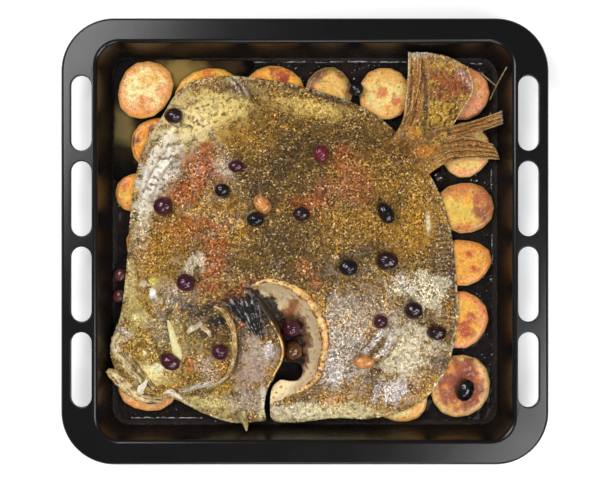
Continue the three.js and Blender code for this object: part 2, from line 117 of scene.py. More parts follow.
def mound(points: np.ndarray, at: Place, spread: float) -> np.ndarray:
    """Reads a round hill of height 1.

    Args:
        points: Rows that start with x and y.
        at: The hill's middle.
        spread: Its width.

    Returns:
        The height at each point.
    """
    away = ((points[:, :2] - np.array(at)) ** 2).sum(1)
    return np.exp(-away / (2 * spread**2))


def smooth_curve(corners: np.ndarray, closed: bool, per_side: int = 24) -> np.ndarray:
    """Runs a centripetal Catmull-Rom curve through points, as the part's source does.

    Args:
        corners: The points to pass, one row each.
        closed: Whether the last point joins the first.
        per_side: Steps from one point to the next.

    Returns:
        Points along the curve.
    """
    corners = np.asarray(corners, float)
    if closed:
        padded = np.vstack([corners[-1:], corners, corners[:2]])
    else:
        padded = np.vstack([2 * corners[0] - corners[1], corners, 2 * corners[-1] - corners[-2]])
    share = np.linspace(0, 1, per_side, endpoint=False)[:, None]
    parts = []
    for p0, p1, p2, p3 in zip(padded, padded[1:], padded[2:], padded[3:]):
        sides = (p1 - p0, p2 - p1, p3 - p2)
        d0, d1, d2 = (max(np.linalg.norm(side), 1e-9) ** 0.5 for side in sides)
        leave = ((p1 - p0) / d0 - (p2 - p0) / (d0 + d1) + (p2 - p1) / d1) * d1
        arrive = ((p2 - p1) / d1 - (p3 - p1) / (d1 + d2) + (p3 - p2) / d2) * d1
        square, cube = share**2, share**3
        parts.append(
            (2 * cube - 3 * square + 1) * p1
            + (cube - 2 * square + share) * leave
            + (3 * square - 2 * cube) * p2
            + (cube - square) * arrive
        )
    curve = np.vstack(parts)
    return curve if closed else np.vstack([curve, corners[-1:]])


def spaced(curve: np.ndarray, step: float, closed: bool) -> np.ndarray:
    """Spreads points evenly along a curve.

    Args:
        curve: Points close together.
        step: The distance wanted between two points.
        closed: Whether the last point joins the first.

    Returns:
        Evenly spaced points.
    """
    line = np.vstack([curve, curve[:1]]) if closed else curve
    travelled = np.concatenate([[0], np.cumsum(np.linalg.norm(np.diff(line, axis=0), axis=1))])
    count = max(2, round(travelled[-1] / step))
    wanted = np.linspace(0, travelled[-1], count + 1)
    if closed:
        wanted = wanted[:-1]
    return np.stack([np.interp(wanted, travelled, line[:, k]) for k in range(line.shape[1])], 1)


def nearest(points: np.ndarray, line: np.ndarray) -> tuple[np.ndarray, np.ndarray]:
    """Finds the nearest point of a line for each point.

    Args:
        points: Rows of x and y.
        line: The line's points, close together, as rows of x and y.

    Returns:
        The distances, and the rows of the line that they are to.
    """
    distances, rows = [], []
    for start in range(0, len(points), 4000):
        away = points[start : start + 4000, None, :2] - line[None, :, :2]
        squares = (away**2).sum(2)
        row = squares.argmin(1)
        rows.append(row)
        distances.append(np.sqrt(squares[np.arange(len(row)), row]))
    return np.concatenate(distances), np.concatenate(rows)


def along_line(
    points: np.ndarray, line: np.ndarray, reach: float
) -> tuple[np.ndarray, np.ndarray]:
    """Measures how far points are from a line, where they are near it.

    Args:
        points: Rows that start with x and y.
        line: The line's points, close together.
        reach: How far from the line the distance matters.

    Returns:
        The distances, large away from the line, and the shares along the line.
    """
    away, share = np.full(len(points), 1e3), np.zeros(len(points))
    near = ((points[:, :2] > line.min(0) - reach) & (points[:, :2] < line.max(0) + reach)).all(1)
    if near.any():
        away[near], rows = nearest(points[near], line)
        share[near] = rows / (len(line) - 1)
    return away, share


def inside_loop(points: np.ndarray, loop: np.ndarray) -> np.ndarray:
    """Says which points lie inside a closed line.

    Args:
        points: Rows of x and y.
        loop: The line's points.

    Returns:
        True or False for each point.
    """
    x, y = points[:, 0], points[:, 1]
    found = np.zeros(len(points), bool)
    loop = loop[:, :2]
    for (ax, ay), (bx, by) in zip(loop, np.roll(loop, -1, axis=0)):
        if ay != by:
            crosses = (ay > y) != (by > y)
            found ^= crosses & (x < (bx - ax) * (y - ay) / (by - ay) + ax)
    return found


class Unevenness:
    """Smooth seeded noise, about -1 to 1, read at points in millimetres."""

    def __init__(self, seed: int) -> None:
        """Draws the lattice of slopes.

        Args:
            seed: Which lattice it is.
        """
        random = np.random.default_rng(seed)
        order = random.permutation(256)
        self.order = np.concatenate([order, order])
        slopes = random.normal(size=(256, 3))
        self.slopes = slopes / np.linalg.norm(slopes, axis=1, keepdims=True)

    def at(self, points: np.ndarray, size: float | Place | Spot) -> np.ndarray:
        """Reads one layer.

        Args:
            points: Rows of x, y and z.
            size: The width of a bump, or one width for each axis.

        Returns:
            One number for each point.
        """
        scaled = points / np.array(size)
        cell = np.floor(scaled).astype(int)
        within = scaled - cell
        eased = within**3 * (within * (within * 6 - 15) + 10)
        total = np.zeros(len(points))
        for corner in itertools.product((0, 1), repeat=3):
            near = (cell + corner) & 255
            pick = self.order[self.order[self.order[near[:, 0]] + near[:, 1]] + near[:, 2]]
            weight = np.prod(np.where(corner, eased, 1 - eased), axis=1)
            total += weight * ((within - corner) * self.slopes[pick]).sum(1)
        return 1.7 * total

    def layered(self, points: np.ndarray, size: float, layers: int = 3) -> np.ndarray:
        """Adds layers, each half as wide and half as strong as the one before.

        Args:
            points: Rows of x, y and z.
            size: The width of the widest bumps.
            layers: How many layers.

        Returns:
            One number for each point.
        """
        return sum(self.at(points + 17.3 * k, size / 2**k) / 2**k for k in range(layers))


# ------------------------------------------------------------------ meshes


def make_piece(
    name: str,
    vertices: np.ndarray,
    faces: np.ndarray | list,
    finish: bpy.types.Material,
    layers: dict[str, np.ndarray] | None = None,
) -> bpy.types.Object:
    """Makes a smooth-shaded mesh object.

    Args:
        name: The piece's name.
        vertices: Rows of x, y and z in millimetres.
        faces: Vertex numbers of each face.
        finish: Its material.
        layers: Numbers or colours for each vertex, by the name that the material reads.

    Returns:
        The new object, at the frame's origin.
    """
    mesh = bpy.data.meshes.new(name)
    corners = faces.tolist() if isinstance(faces, np.ndarray) else faces
    mesh.from_pydata((vertices * MM).tolist(), [], corners)
    paint(mesh, layers or {})
    return finished(mesh, finish)


def finished(mesh: bpy.types.Mesh, finish: bpy.types.Material) -> bpy.types.Object:
    """Makes a smooth-shaded object of a mesh, with the mesh's name.

    Args:
        mesh: The mesh.
        finish: Its material.

    Returns:
        The new object.
    """
    mesh.shade_smooth()
    mesh.materials.clear()
    mesh.materials.append(finish)
    piece = bpy.data.objects.new(mesh.name, mesh)
    bpy.context.scene.collection.objects.link(piece)
    return piece


def paint(mesh: bpy.types.Mesh, layers: dict[str, np.ndarray]) -> None:
    """Writes numbers or colours on a mesh's vertices.

    Args:
        mesh: The mesh.
        layers: One array for each name: a number a vertex, or three for a colour.
    """
    for name, values in layers.items():
        if values.ndim == 1:
            numbers = mesh.attributes.new(name, "FLOAT", "POINT")
            numbers.data.foreach_set("value", values.astype(np.float32))
        else:
            opaque = np.hstack([values, np.ones((len(values), 1))])
            colours = mesh.attributes.new(name, "FLOAT_COLOR", "POINT")
            colours.data.foreach_set("color", opaque.astype(np.float32).ravel())


def fit(piece: bpy.types.Object, slot: str, *nodes: str) -> None:
    """Lets a piece ride on the dish and stand for its solids, and reports it.

    Args:
        piece: The piece, in place.
        slot: Not used.
        nodes: The solids that it stands for.
    """
    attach(piece, "root")
    if nodes:
        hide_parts(*nodes)
    log.info("%s built", piece.name)


def rows_of(elements: bpy.types.bpy_prop_collection, name: str) -> np.ndarray:
    """Reads a value of three numbers from each of a mesh's elements.

    Args:
        elements: The vertices or their normals.
        name: Blender's name for the value.

    Returns:
        One row for each element.
    """
    flat = np.empty(len(elements) * 3, np.float32)
    elements.foreach_get(name, flat)
    return flat.reshape(-1, 3).astype(float)


def vertices_of(mesh: bpy.types.Mesh) -> np.ndarray:
    """Reads a mesh's vertices in millimetres, one row each."""
    return rows_of(mesh.vertices, "co") / MM


def normals_of(mesh: bpy.types.Mesh) -> np.ndarray:
    """Reads a mesh's vertex normals, one row each."""
    return rows_of(mesh.vertex_normals, "vector")


def remeshed(
    node: str, name: str, voxel: float, rounds: int, finish: bpy.types.Material
) -> bpy.types.Object:
    """Copies a solid's form as an even, rounded mesh.

    Args:
        node: The solid's name.
        name: The new piece's name.
        voxel: The size of its faces.
        rounds: How many times it is smoothed.
        finish: Its material.

    Returns:
        The new object.
    """
    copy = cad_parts[node].data.copy()
    work = bpy.data.objects.new(name + "_work", copy)
    bpy.context.scene.collection.objects.link(work)
    remesh = work.modifiers.new("even", "REMESH")
    remesh.mode, remesh.voxel_size = "VOXEL", voxel * MM
    smooth = work.modifiers.new("round", "SMOOTH")
    smooth.factor, smooth.iterations = 0.5, rounds
    evaluated = work.evaluated_get(bpy.context.evaluated_depsgraph_get())
    mesh = bpy.data.meshes.new_from_object(evaluated)
    bpy.data.objects.remove(work)
    bpy.data.meshes.remove(copy)
    mesh.name = name
    return finished(mesh, finish)


def move_vertices(piece: bpy.types.Object, vertices: np.ndarray) -> None:
    """Puts a piece's vertices, in millimetres, where they are given."""
    piece.data.vertices.foreach_set("co", (vertices * MM).astype(np.float32).ravel())
    piece.data.update()


def joined(parts: list[tuple[np.ndarray, list]]) -> tuple[np.ndarray, list]:
    """Joins meshes into one.

    Args:
        parts: Each one's vertices and faces.

    Returns:
        The vertices and faces of them all.
    """
    faces, start = [], 0
    for vertices, corners in parts:
        faces += [[v + start for v in face] for face in corners]
        start += len(vertices)
    return np.vstack([vertices for vertices, _ in parts]), faces


@dataclass(frozen=True)
class Sweep:
    """A closed tube along a route, its section flattened and ribbed lengthwise."""

    route: np.ndarray
    radii: np.ndarray
    sides: int = 20
    flat: float = 0.85
    ribs: int = 0
    rib_depth: float = 0.0

    def mesh(self) -> tuple[np.ndarray, list, np.ndarray, np.ndarray]:
        """Builds the tube.

        Returns:
            Its vertices, its faces, each vertex's share along it, and its turn round it.
        """
        along = np.gradient(self.route, axis=0)
        along /= np.linalg.norm(along, axis=1, keepdims=True)
        across = np.cross([0, 0, 1], along)
        across /= np.maximum(np.linalg.norm(across, axis=1, keepdims=True), 1e-9)
        over = np.cross(along, across)
        turns = np.linspace(0, 2 * np.pi, self.sides, endpoint=False)
        ribbed = 1 + self.rib_depth * np.cos(self.ribs * turns)
        aside = self.radii[:, None] * (np.cos(turns) * ribbed)
        up = self.radii[:, None] * (np.sin(turns) * ribbed) * self.flat
        rings = self.route[:, None] + aside[..., None] * across[:, None]
        rings = rings + up[..., None] * over[:, None]
        count = len(self.route)
        faces = [
            [r * self.sides + k, r * self.sides + (k + 1) % self.sides,
             (r + 1) * self.sides + (k + 1) % self.sides, (r + 1) * self.sides + k]
            for r in range(count - 1)
            for k in range(self.sides)
        ]
        faces.append(list(range(self.sides))[::-1])
        faces.append([(count - 1) * self.sides + k for k in range(self.sides)])
        share = np.repeat(np.linspace(0, 1, count), self.sides)
        return rings.reshape(-1, 3), faces, share, np.tile(turns, count)


# ------------------------------------------------------------------ materials


class Shader:
    """A material whose nodes are added by short calls."""

    def __init__(self, name: str) -> None:
        """Makes the material with its one surface shader.

        Args:
            name: The material's name.
        """
        self.material = bpy.data.materials.new(name)
        self.material.use_nodes = True
        self.tree = self.material.node_tree
        self.surface = self.tree.nodes["Principled BSDF"]
        place = self.tree.nodes.new("ShaderNodeTexCoord")
        self.place = place.outputs["Object"]

    def wire(self, socket: Socket, value: object) -> None:
        """Links a socket to another, or sets its value.

        Args:
            socket: An input.
            value: An output socket, a number or a colour.
        """
        if isinstance(value, Socket):
            self.tree.links.new(value, socket)
        elif isinstance(value, (tuple, np.ndarray)) and len(value) == 3 and socket.type == "RGBA":
            socket.default_value = (*[float(v) for v in value], 1.0)
        else:
            socket.default_value = value

    def set(self, **values: object) -> None:
        """Sets the surface shader's inputs, named with underscores for spaces."""
        for name, value in values.items():
            self.wire(self.surface.inputs[name.replace("_", " ")], value)

    def layer(self, name: str) -> bpy.types.Node:
        """Reads a vertex layer that the mesh carries.

        Args:
            name: The layer's name.

        Returns:
            The node, whose outputs are Color and Fac.
        """
        node = self.tree.nodes.new("ShaderNodeAttribute")
        node.attribute_name = name
        return node

    def noise(self, size: float, detail: float = 3, roughness: float = 0.5) -> Socket:
        """Adds noise with bumps of `size` millimetres.

        Args:
            size: The width of its bumps.
            detail: How many finer layers it has.
            roughness: How strong those are.

        Returns:
            Its number, about 0 to 1.
        """
        node = self.tree.nodes.new("ShaderNodeTexNoise")
        node.inputs["Scale"].default_value = 1 / (size * MM)
        node.inputs["Detail"].default_value = detail
        node.inputs["Roughness"].default_value = roughness
        self.tree.links.new(self.place, node.inputs["Vector"])
        return node.outputs["Fac"]

    def cells(self, size: float) -> bpy.types.Node:
        """Adds uneven cells, each of a random colour.

        Args:
            size: Their width in millimetres.

        Returns:
            The node, whose output is Color.
        """
        node = self.tree.nodes.new("ShaderNodeTexVoronoi")
        node.inputs["Scale"].default_value = 1 / (size * MM)
        self.tree.links.new(self.place, node.inputs["Vector"])
        return node

    def math(self, operation: str, *values: object) -> Socket:
        """Calculates with numbers.

        Args:
            operation: Blender's name for it.
            values: Its inputs, as sockets or numbers.

        Returns:
            The result.
        """
        node = self.tree.nodes.new("ShaderNodeMath")
        node.operation = operation
        for socket, value in zip(node.inputs, values):
            self.wire(socket, value)
        return node.outputs["Value"]

    def between(self, value: Socket, low: float, high: float) -> Socket:
        """Stretches a number and keeps it from 0 to 1.

        Args:
            value: The number.
            low: Where it becomes 0.
            high: Where it becomes 1.

        Returns:
            The result.
        """
        node = self.tree.nodes.new("ShaderNodeMapRange")
        self.wire(node.inputs["Value"], value)
        node.inputs["From Min"].default_value = low
        node.inputs["From Max"].default_value = high
        return node.outputs["Result"]

    def mix(self, share: object, a: object, b: object, mode: str = "MIX") -> Socket:
        """Mixes two colours.

        Args:
            share: How much of `b`.
            a: A colour or socket.
            b: The other.
            mode: Blender's name for the way of mixing.

        Returns:
            The mixed colour.
        """
        node = self.tree.nodes.new("ShaderNodeMix")
        node.data_type, node.blend_type = "RGBA", mode
        self.wire(node.inputs["Factor"], share)
        self.wire(node.inputs[6], a)
        self.wire(node.inputs[7], b)
        return node.outputs[2]

    def mottled(self, share: object, tone: Socket, shade: Socket) -> Socket:
        """Darkens a colour in patches.

        Args:
            share: How strongly.
            tone: The colour.
            shade: The patches, 0 where they are black.

        Returns:
            The darkened colour.
        """
        return self.mix(share, tone, self.mix(1.0, tone, shade, "MULTIPLY"))

    def bump(self, height: Socket, depth: float, under: Socket | None = None) -> Socket:
        """Raises the surface in its shading.

        Args:
            height: The relief, 0 to 1.
            depth: How deep that is, in millimetres.
            under: A relief that this one lies on.

        Returns:
            The normal.
        """
        node = self.tree.nodes.new("ShaderNodeBump")
        node.inputs["Distance"].default_value = depth * MM
        self.tree.links.new(height, node.inputs["Height"])
        if under is not None:
            self.tree.links.new(under, node.inputs["Normal"])
        return node.outputs["Normal"]


@dataclass(frozen=True)
class SkinFinish:
    """Oily baked skin: the tone painted on it, broken up into dark grains and pale flecks, which
    are painted glints.
    """

    grain: float = 2.0
    fleck: float = 1.4
    glint_fleck: Rgb = (255, 246, 214)
    darkened: Spot = (0.15, 0.12, 0.09)
    lightened: Spot = (3.3, 3.2, 3.0)

    def build(self) -> bpy.types.Material:
        """Makes the material, which reads the layers `tone`, `speckle` and `wet`.

        Returns:
            The material.
        """
        shader = Shader("baked_skin")
        tone = shader.layer("tone").outputs["Color"]
        speckle = shader.layer("speckle").outputs["Fac"]
        wet = shader.layer("wet").outputs["Fac"]
        grains = shader.noise(self.grain, 3, 0.68)
        split = shader.tree.nodes.new("ShaderNodeSeparateColor")
        shader.wire(split.inputs[0], shader.cells(self.fleck).outputs["Color"])
        chance = shader.math("MULTIPLY_ADD", split.outputs[0], 0.5, grains)
        gloom = shader.math("MULTIPLY_ADD", split.outputs[1], 0.4, grains)
        dark = shader.math("MULTIPLY", shader.between(gloom, 0.71, 0.61), speckle)
        # Pale flecks: painted glints, light caught on the oily grains.
        pale = shader.math("MULTIPLY", shader.between(chance, 0.985, 1.02), speckle)
        shade = shader.math("MULTIPLY_ADD", split.outputs[2], 1.1, 0.52)
        grainy = shader.mottled(speckle, tone, shade)
        deep = shader.mix(1.0, tone, self.darkened, "MULTIPLY")
        glint_colour = shader.mix(1.0, tone, self.lightened, "MULTIPLY")
        glint_colour = shader.mix(0.5, glint_colour, linear(self.glint_fleck))
        pored = shader.mix(shader.math("MULTIPLY", dark, 0.9), grainy, deep)
        flecked = shader.mix(pale, pored, glint_colour)
        relief = shader.bump(grains, 1.9)
        relief = shader.bump(shader.noise(0.9, 2), 0.35, relief)
        shader.set(
            Base_Color=flecked,
            Roughness=shader.math("MULTIPLY_ADD", wet, -0.22, 0.48),
            Normal=relief,
            Coat_Weight=0.2,
            Coat_Roughness=0.1,
            Specular_IOR_Level=0.22,
        )
        return shader.material


@dataclass(frozen=True)
class FleshFinish:
    """Moist cooked flesh and bone, with the tone painted on it."""

    def build(self) -> bpy.types.Material:
        """Makes the material, which reads the layer `tone`.

        Returns:
            The material.
        """
        shader = Shader("cooked_flesh")
        tone = shader.layer("tone").outputs["Color"]
        shade = shader.between(shader.noise(2.2, 4, 0.6), 0.2, 0.6)
        colour = shader.mottled(0.15, tone, shade)
        relief = shader.bump(shader.noise(1.6, 3), 0.9)
        shader.set(
            Base_Color=colour,
            Roughness=0.36,
            Normal=relief,
            Subsurface_Weight=0.1,
            Subsurface_Scale=0.002,
            Coat_Weight=0.35,
            Coat_Roughness=0.12,
            Specular_IOR_Level=0.4,
        )
        return shader.material


@dataclass(frozen=True)
class PotatoFinish:
    """Roast potato with oily, blistered faces."""

    def build(self) -> bpy.types.Material:
        """Makes the material, which reads the layer `tone`.

        Returns:
            The material.
        """
        shader = Shader("roast_potato")
        tone = shader.layer("tone").outputs["Color"]
        mottle = shader.between(shader.noise(3.5, 5, 0.65), 0.24, 0.62)
        colour = shader.mottled(0.35, tone, mottle)
        specks = shader.between(shader.noise(1.7, 3, 0.7), 0.4, 0.3)
        colour = shader.mix(shader.math("MULTIPLY", specks, 0.7), colour, linear((128, 58, 16)))
        relief = shader.bump(shader.noise(2.6, 4, 0.6), 1.5)
        relief = shader.bump(shader.noise(0.9, 2), 0.35, relief)
        shader.set(
            Base_Color=colour,
            Roughness=0.34,
            Normal=relief,
            Subsurface_Weight=0.12,
            Subsurface_Scale=0.003,
            Coat_Weight=0.4,
            Coat_Roughness=0.1,
            Specular_IOR_Level=0.4,
        )
        return shader.material


class OliveTone(Enum):
    """The colours that the olives have baked to."""

    BLACK = (14, 9, 14)
    DUSKY = (36, 14, 20)
    PURPLE = (62, 16, 34)
    RED = (104, 30, 44)
    TAN = (190, 126, 68)
    BROWN = (86, 50, 20)
    PINK = (94, 46, 46)


@dataclass(frozen=True)
class OliveFinish:
    """A glossy, slightly shrivelled olive of one tone."""

    tone: OliveTone

    def build(self) -> bpy.types.Material:
        """Makes the material.

        Returns:
            The material.
        """
        shader = Shader("olive_" + self.tone.name.lower())
        deep = linear(self.tone.value)
        shade = shader.between(shader.noise(3.0, 3), 0.3, 0.7)
        colour = shader.mix(shade, deep * 0.5, deep * 1.6)
        relief = shader.bump(shader.noise(4.2, 2), 0.16)
        shader.set(
            Base_Color=colour,
            Roughness=0.24,
            Normal=relief,
            Coat_Weight=0.8,
            Coat_Roughness=0.03,
            Specular_IOR_Level=0.2,
        )
        return shader.material


@dataclass(frozen=True)
class EnamelFinish:
    """Black vitreous enamel, with baked-on grease where the layer `grease` says."""

    black: Rgb = (13, 13, 15)
    grease: Rgb = (46, 30, 17)

    def build(self) -> bpy.types.Material:
        """Makes the material.

        Returns:
            The material.
        """
        shader = Shader("black_enamel")
        film = shader.layer("grease").outputs["Fac"]
        patches = shader.between(shader.noise(14, 5, 0.65), 0.35, 0.65)
        patchy = shader.math("MULTIPLY", film, patches)
        colour = shader.mix(patchy, linear(self.black), linear(self.grease))
        crust = shader.math("MULTIPLY", film, shader.noise(2.2, 5, 0.7))
        relief = shader.bump(crust, 2.6)
        relief = shader.bump(shader.noise(6, 2), 0.03, relief)
        rough = shader.math("MULTIPLY_ADD", shader.noise(30, 3), 0.1, 0.17)
        matt = shader.math("MULTIPLY", film, shader.between(shader.noise(11, 3), 0.3, 0.6))
        rough = shader.math("MULTIPLY_ADD", matt, 0.25, rough)
        shader.set(Base_Color=colour, Roughness=rough, Normal=relief, Specular_IOR_Level=0.4)
        return shader.material


@dataclass(frozen=True)
class JuiceFinish:
    """Brown-yellow pan juices with oil on them."""

    def build(self) -> bpy.types.Material:
        """Makes the material, which reads the layer `tone`.

        Returns:
            The material.
        """
        shader = Shader("pan_juices_film")
        relief = shader.bump(shader.noise(12, 1), 0.12)
        shader.set(
            Base_Color=shader.layer("tone").outputs["Color"],
            Roughness=0.22,
            Normal=relief,
            IOR=1.33,
            Specular_IOR_Level=0.04,
        )
        return shader.material


@dataclass(frozen=True)
class BurntFinish:
    """Burnt-on fat: nearly black, crusty, with small wet glints."""

    def build(self) -> bpy.types.Material:
        """Makes the material, which reads the layer `tone`.

        Returns:
            The material.
        """
        shader = Shader("burnt_fat")
        tone = shader.layer("tone").outputs["Color"]
        relief = shader.bump(shader.noise(2.2, 4, 0.7), 1.8)
        shader.set(
            Base_Color=tone,
            Roughness=shader.between(shader.noise(5, 3), 0.2, 1.1),
            Normal=relief,
            Specular_IOR_Level=0.16,
            Coat_Weight=0.1,
            Coat_Roughness=0.08,
        )
        return shader.material


@dataclass(frozen=True)
class CrumbFinish:
    """Dry bits, each with the tone painted on it."""

    name: str
    roughness: float

    def build(self) -> bpy.types.Material:
        """Makes the material, which reads the layer `tone`.

        Returns:
            The material.
        """
        shader = Shader(self.name)
        tone = shader.layer("tone").outputs["Color"]
        shade = shader.between(shader.noise(0.8, 2), 0.2, 0.8)
        colour = shader.mottled(0.5, tone, shade)
        relief = shader.bump(shader.noise(0.6, 2), 0.2)
        shader.set(Base_Color=colour, Roughness=self.roughness, Normal=relief)
        return shader.material


# ------------------------------------------------------------------ oven tray


@dataclass
class OvenTray:
    """The pressed tray, its eight grip slots and what has burnt on to it."""

    half_length: float = 225
    half_width: float = 206
    depth: float = 38
    sheet: float = 1.2
    opening_half_length: float = 194
    opening_half_width: float = 185.5
    floor_fillet: float = 6.5
    edge_fillet: float = 4.2
    rim_fillet: float = 4.0
    lip_drop: float = 5.5
    slot_from_middle: float = 206
    slot_pitch: float = 78.8
    slot_half_width: float = 9.5
    slot_half_length: float = 34.5
    slot_round: float = 0.9
    slot_collar: float = 4
    corner_steps: int = 20
    corners: tuple[Place, ...] = (
        (-15.5, 14), (-12.1, 16), (-10.5, 17), (-3.4, 21), (0, 23.5), (27.5, 46), (31, 49),
    )
    finish: bpy.types.Material = field(default_factory=lambda: EnamelFinish().build())

    def section(self) -> np.ndarray:
        """Rounds the corners of the wall's section.

        Returns:
            Rows of distance out from the opening's edge and height, from the floor to the rim.
        """
        rim = self.half_length - self.opening_half_length
        corners = [(-11.8, self.sheet), (-2.1, self.depth), (rim, self.depth)]
        radii = [self.floor_fillet, self.edge_fillet, self.rim_fillet]
        line = [(-40, self.sheet), *corners, (rim, self.depth - self.lip_drop)]
        points = [np.array(line[0], float)]
        for i, radius in enumerate(radii, start=1):
            before, here, after = (np.array(line[k], float) for k in (i - 1, i, i + 1))
            to_before = (before - here) / np.linalg.norm(before - here)
            to_after = (after - here) / np.linalg.norm(after - here)
            half = math.acos(float(np.clip(to_before @ to_after, -1, 1))) / 2
            inward = (to_before + to_after) / np.linalg.norm(to_before + to_after)
            middle = here + inward * radius / math.sin(half)
            start = here + to_before * radius / math.tan(half)
            end = here + to_after * radius / math.tan(half)
            for share in np.linspace(0, 1, 9):
                arm = (start - middle) * (1 - share) + (end - middle) * share
                points.append(middle + arm / np.linalg.norm(arm) * radius)
        points.append(np.array(line[-1], float))
        return np.array(points)

    def ring(self, out: float, height: float) -> np.ndarray:
        """Makes one ring round the tray.

        Args:
            out: How far out from the opening's edge, at the sides.
            height: Its height.

        Returns:
            Its points.
        """
        flange = self.half_length - self.opening_half_length
        narrow = (self.half_width - self.opening_half_width) / flange
        half_x = self.opening_half_length + out
        half_y = self.opening_half_width + (out * narrow if out > 0 else out)
        known, radii = zip(*self.corners)
        corner = float(np.interp(out, known, radii))
        points = []
        for quarter, (sx, sy) in enumerate([(1, 1), (-1, 1), (-1, -1), (1, -1)]):
            for k in range(self.corner_steps + 1):
                turn = (quarter + k / self.corner_steps) * math.pi / 2
                points.append((
                    sx * (half_x - corner) + corner * math.cos(turn),
                    sy * (half_y - corner) + corner * math.sin(turn),
                    height,
                ))
        return np.array(points)

    def slot_ring(self, grow: float, height: float, steps: int = 14) -> np.ndarray:
        """Makes a ring round a slot at the origin.

        Args:
            grow: How far outside the slot's edge it is.
            height: Its height.
            steps: Steps round each end.

        Returns:
            Its points.
        """
        radius = self.slot_half_width + grow
        straight = self.slot_half_length - self.slot_half_width
        turns = np.linspace(0, np.pi, steps + 1)
        ends = [(turn, end) for end in (1, -1) for turn in turns + (0 if end > 0 else np.pi)]
        return np.array([
            (radius * math.cos(turn), end * straight + radius * math.sin(turn), height)
            for turn, end in ends
        ])

    def slot_places(self) -> list[Place]:
        """Lists the slots' middles."""
        return [
            (side * self.slot_from_middle, (k - 1.5) * self.slot_pitch)
            for side in (-1, 1)
            for k in range(4)
        ]

    def surface(self) -> tuple[np.ndarray, list]:
        """Builds the tray's upper surface, which the sheet's thickness is added to.

        Returns:
            Its vertices and faces.
        """
        section = self.section()
        is_flange = abs(section[:, 1] - self.depth) < 1e-6
        first, last = np.flatnonzero(is_flange)[[0, -1]]
        vertices: list[np.ndarray] = []
        faces: list[list[int]] = []

        def stitch(rings: list[np.ndarray]) -> list[list[int]]:
            """Joins rings of equal count.

            Args:
                rings: The rings, from one end to the other.

            Returns:
                Each ring's vertex numbers.
            """
            numbers = []
            for ring in rings:
                start = sum(len(v) for v in vertices)
                vertices.append(ring)
                numbers.append(list(range(start, start + len(ring))))
            for low, high in zip(numbers, numbers[1:]):
                for k in range(len(low)):
                    n = (k + 1) % len(low)
                    faces.append([low[k], low[n], high[n], high[k]])
            return numbers

        inner = stitch([self.ring(*row) for row in section[: first + 1]])
        outer = stitch([self.ring(*row) for row in section[last:]])
        faces.append(inner[0])
        loops = [inner[-1], outer[0]]
        for x, y in self.slot_places():
            rings = []
            for share in np.linspace(1, 0, 6):
                turn = share * math.pi / 2
                grow = self.slot_round * (1 - math.cos(turn))
                rings.append((grow, self.depth - self.slot_round * (1 - math.sin(turn))))
            rings.append((0, self.depth - self.slot_collar))
            numbers = stitch([self.slot_ring(*row) + [x, y, 0] for row in rings])
            loops.append(numbers[0])
        supports = [
            self.ring(section[first, 0] + 0.2, self.depth),
            self.ring(section[last, 0] - 0.3, self.depth),
        ]
        for x, y in self.slot_places():
            supports.append(self.slot_ring(self.slot_round + 0.2, self.depth) + [x, y, 0])
        points, flange = self.flange(np.vstack(vertices), loops, np.vstack(supports))
        return points, faces + flange

    def flange(
        self, points: np.ndarray, loops: list[list[int]], supports: np.ndarray
    ) -> tuple[np.ndarray, list]:
        """Fills the flat flange between the opening, the outer edge and the slots.

        Args:
            points: The vertices made so far.
            loops: Vertex numbers of the opening, the outer edge and each slot.
            supports: More points on the flange, which keep the shading flat near its edges.

        Returns:
            All vertices, and the flange's faces.
        """
        known = [row for loop in loops for row in loop]
        flat = np.vstack([points[known], supports])
        edges, start = [], 0
        for loop in loops:
            edges += [(start + k, start + (k + 1) % len(loop)) for k in range(len(loop))]
            start += len(loop)
        found = geometry.delaunay_2d_cdt([Vector(p[:2]) for p in flat], edges, [], 0, 1e-5)
        number, added = {}, []
        for new, (old, *_) in enumerate(found[3]):
            if old < len(known):
                number[new] = known[old]
            else:
                number[new] = len(points) + len(added)
                added.append(flat[old])
        centres = np.array([np.mean([found[0][v][:] for v in tri], axis=0) for tri in found[2]])
        keep = inside_loop(centres, points[loops[1]])
        for loop in (loops[0], *loops[2:]):
            keep &= ~inside_loop(centres, points[loop])
        faces = [[number[v] for v in tri] for tri, good in zip(found[2], keep) if good]
        return np.vstack([points, added]), faces

    def grease(self, points: np.ndarray) -> np.ndarray:
        """Says how much has burnt on: most on the floor, some on the walls.

        Args:
            points: Rows of x, y and z.

        Returns:
            A share for each point.
        """
        on_floor = ease(-points[:, 2], -7, -1.5)
        on_wall = 0.45 * ease(-points[:, 2], -36, -14)
        return np.maximum(on_floor, on_wall)

    def build(self) -> None:
        """Builds the tray."""
        points, faces = self.surface()
        shell = make_piece(
            "tray_shell", points, faces, self.finish, {"grease": self.grease(points)}
        )
        tidy = bmesh.new()
        tidy.from_mesh(shell.data)
        bmesh.ops.recalc_face_normals(tidy, faces=tidy.faces)
        floor = min(tidy.faces, key=lambda face: face.calc_center_median().z)
        if floor.normal.z < 0:
            bmesh.ops.reverse_faces(tidy, faces=tidy.faces)
        tidy.to_mesh(shell.data)
        tidy.free()
        shell.data.shade_smooth()
        thick = shell.modifiers.new("sheet", "SOLIDIFY")
        thick.thickness, thick.offset, thick.use_even_offset = self.sheet * MM, -1, True
        shell.modifiers.new("flat", "WEIGHTED_NORMAL")
        fit(shell, "enamel", "oven_tray")


# ------------------------------------------------------------------ turbot: its form


@dataclass(frozen=True)
class CutStation:
    """A line across the cut: its head side, its body side, the hollow's share and depth."""

    left: Place
    right: Place
    shelf: float
    floor: float


@dataclass(frozen=True)
class Ridge:
    """A rounded ridge along the skin, or a groove where its rise is below zero."""

    route: tuple[Place, ...]
    half_width: float
    rise: float


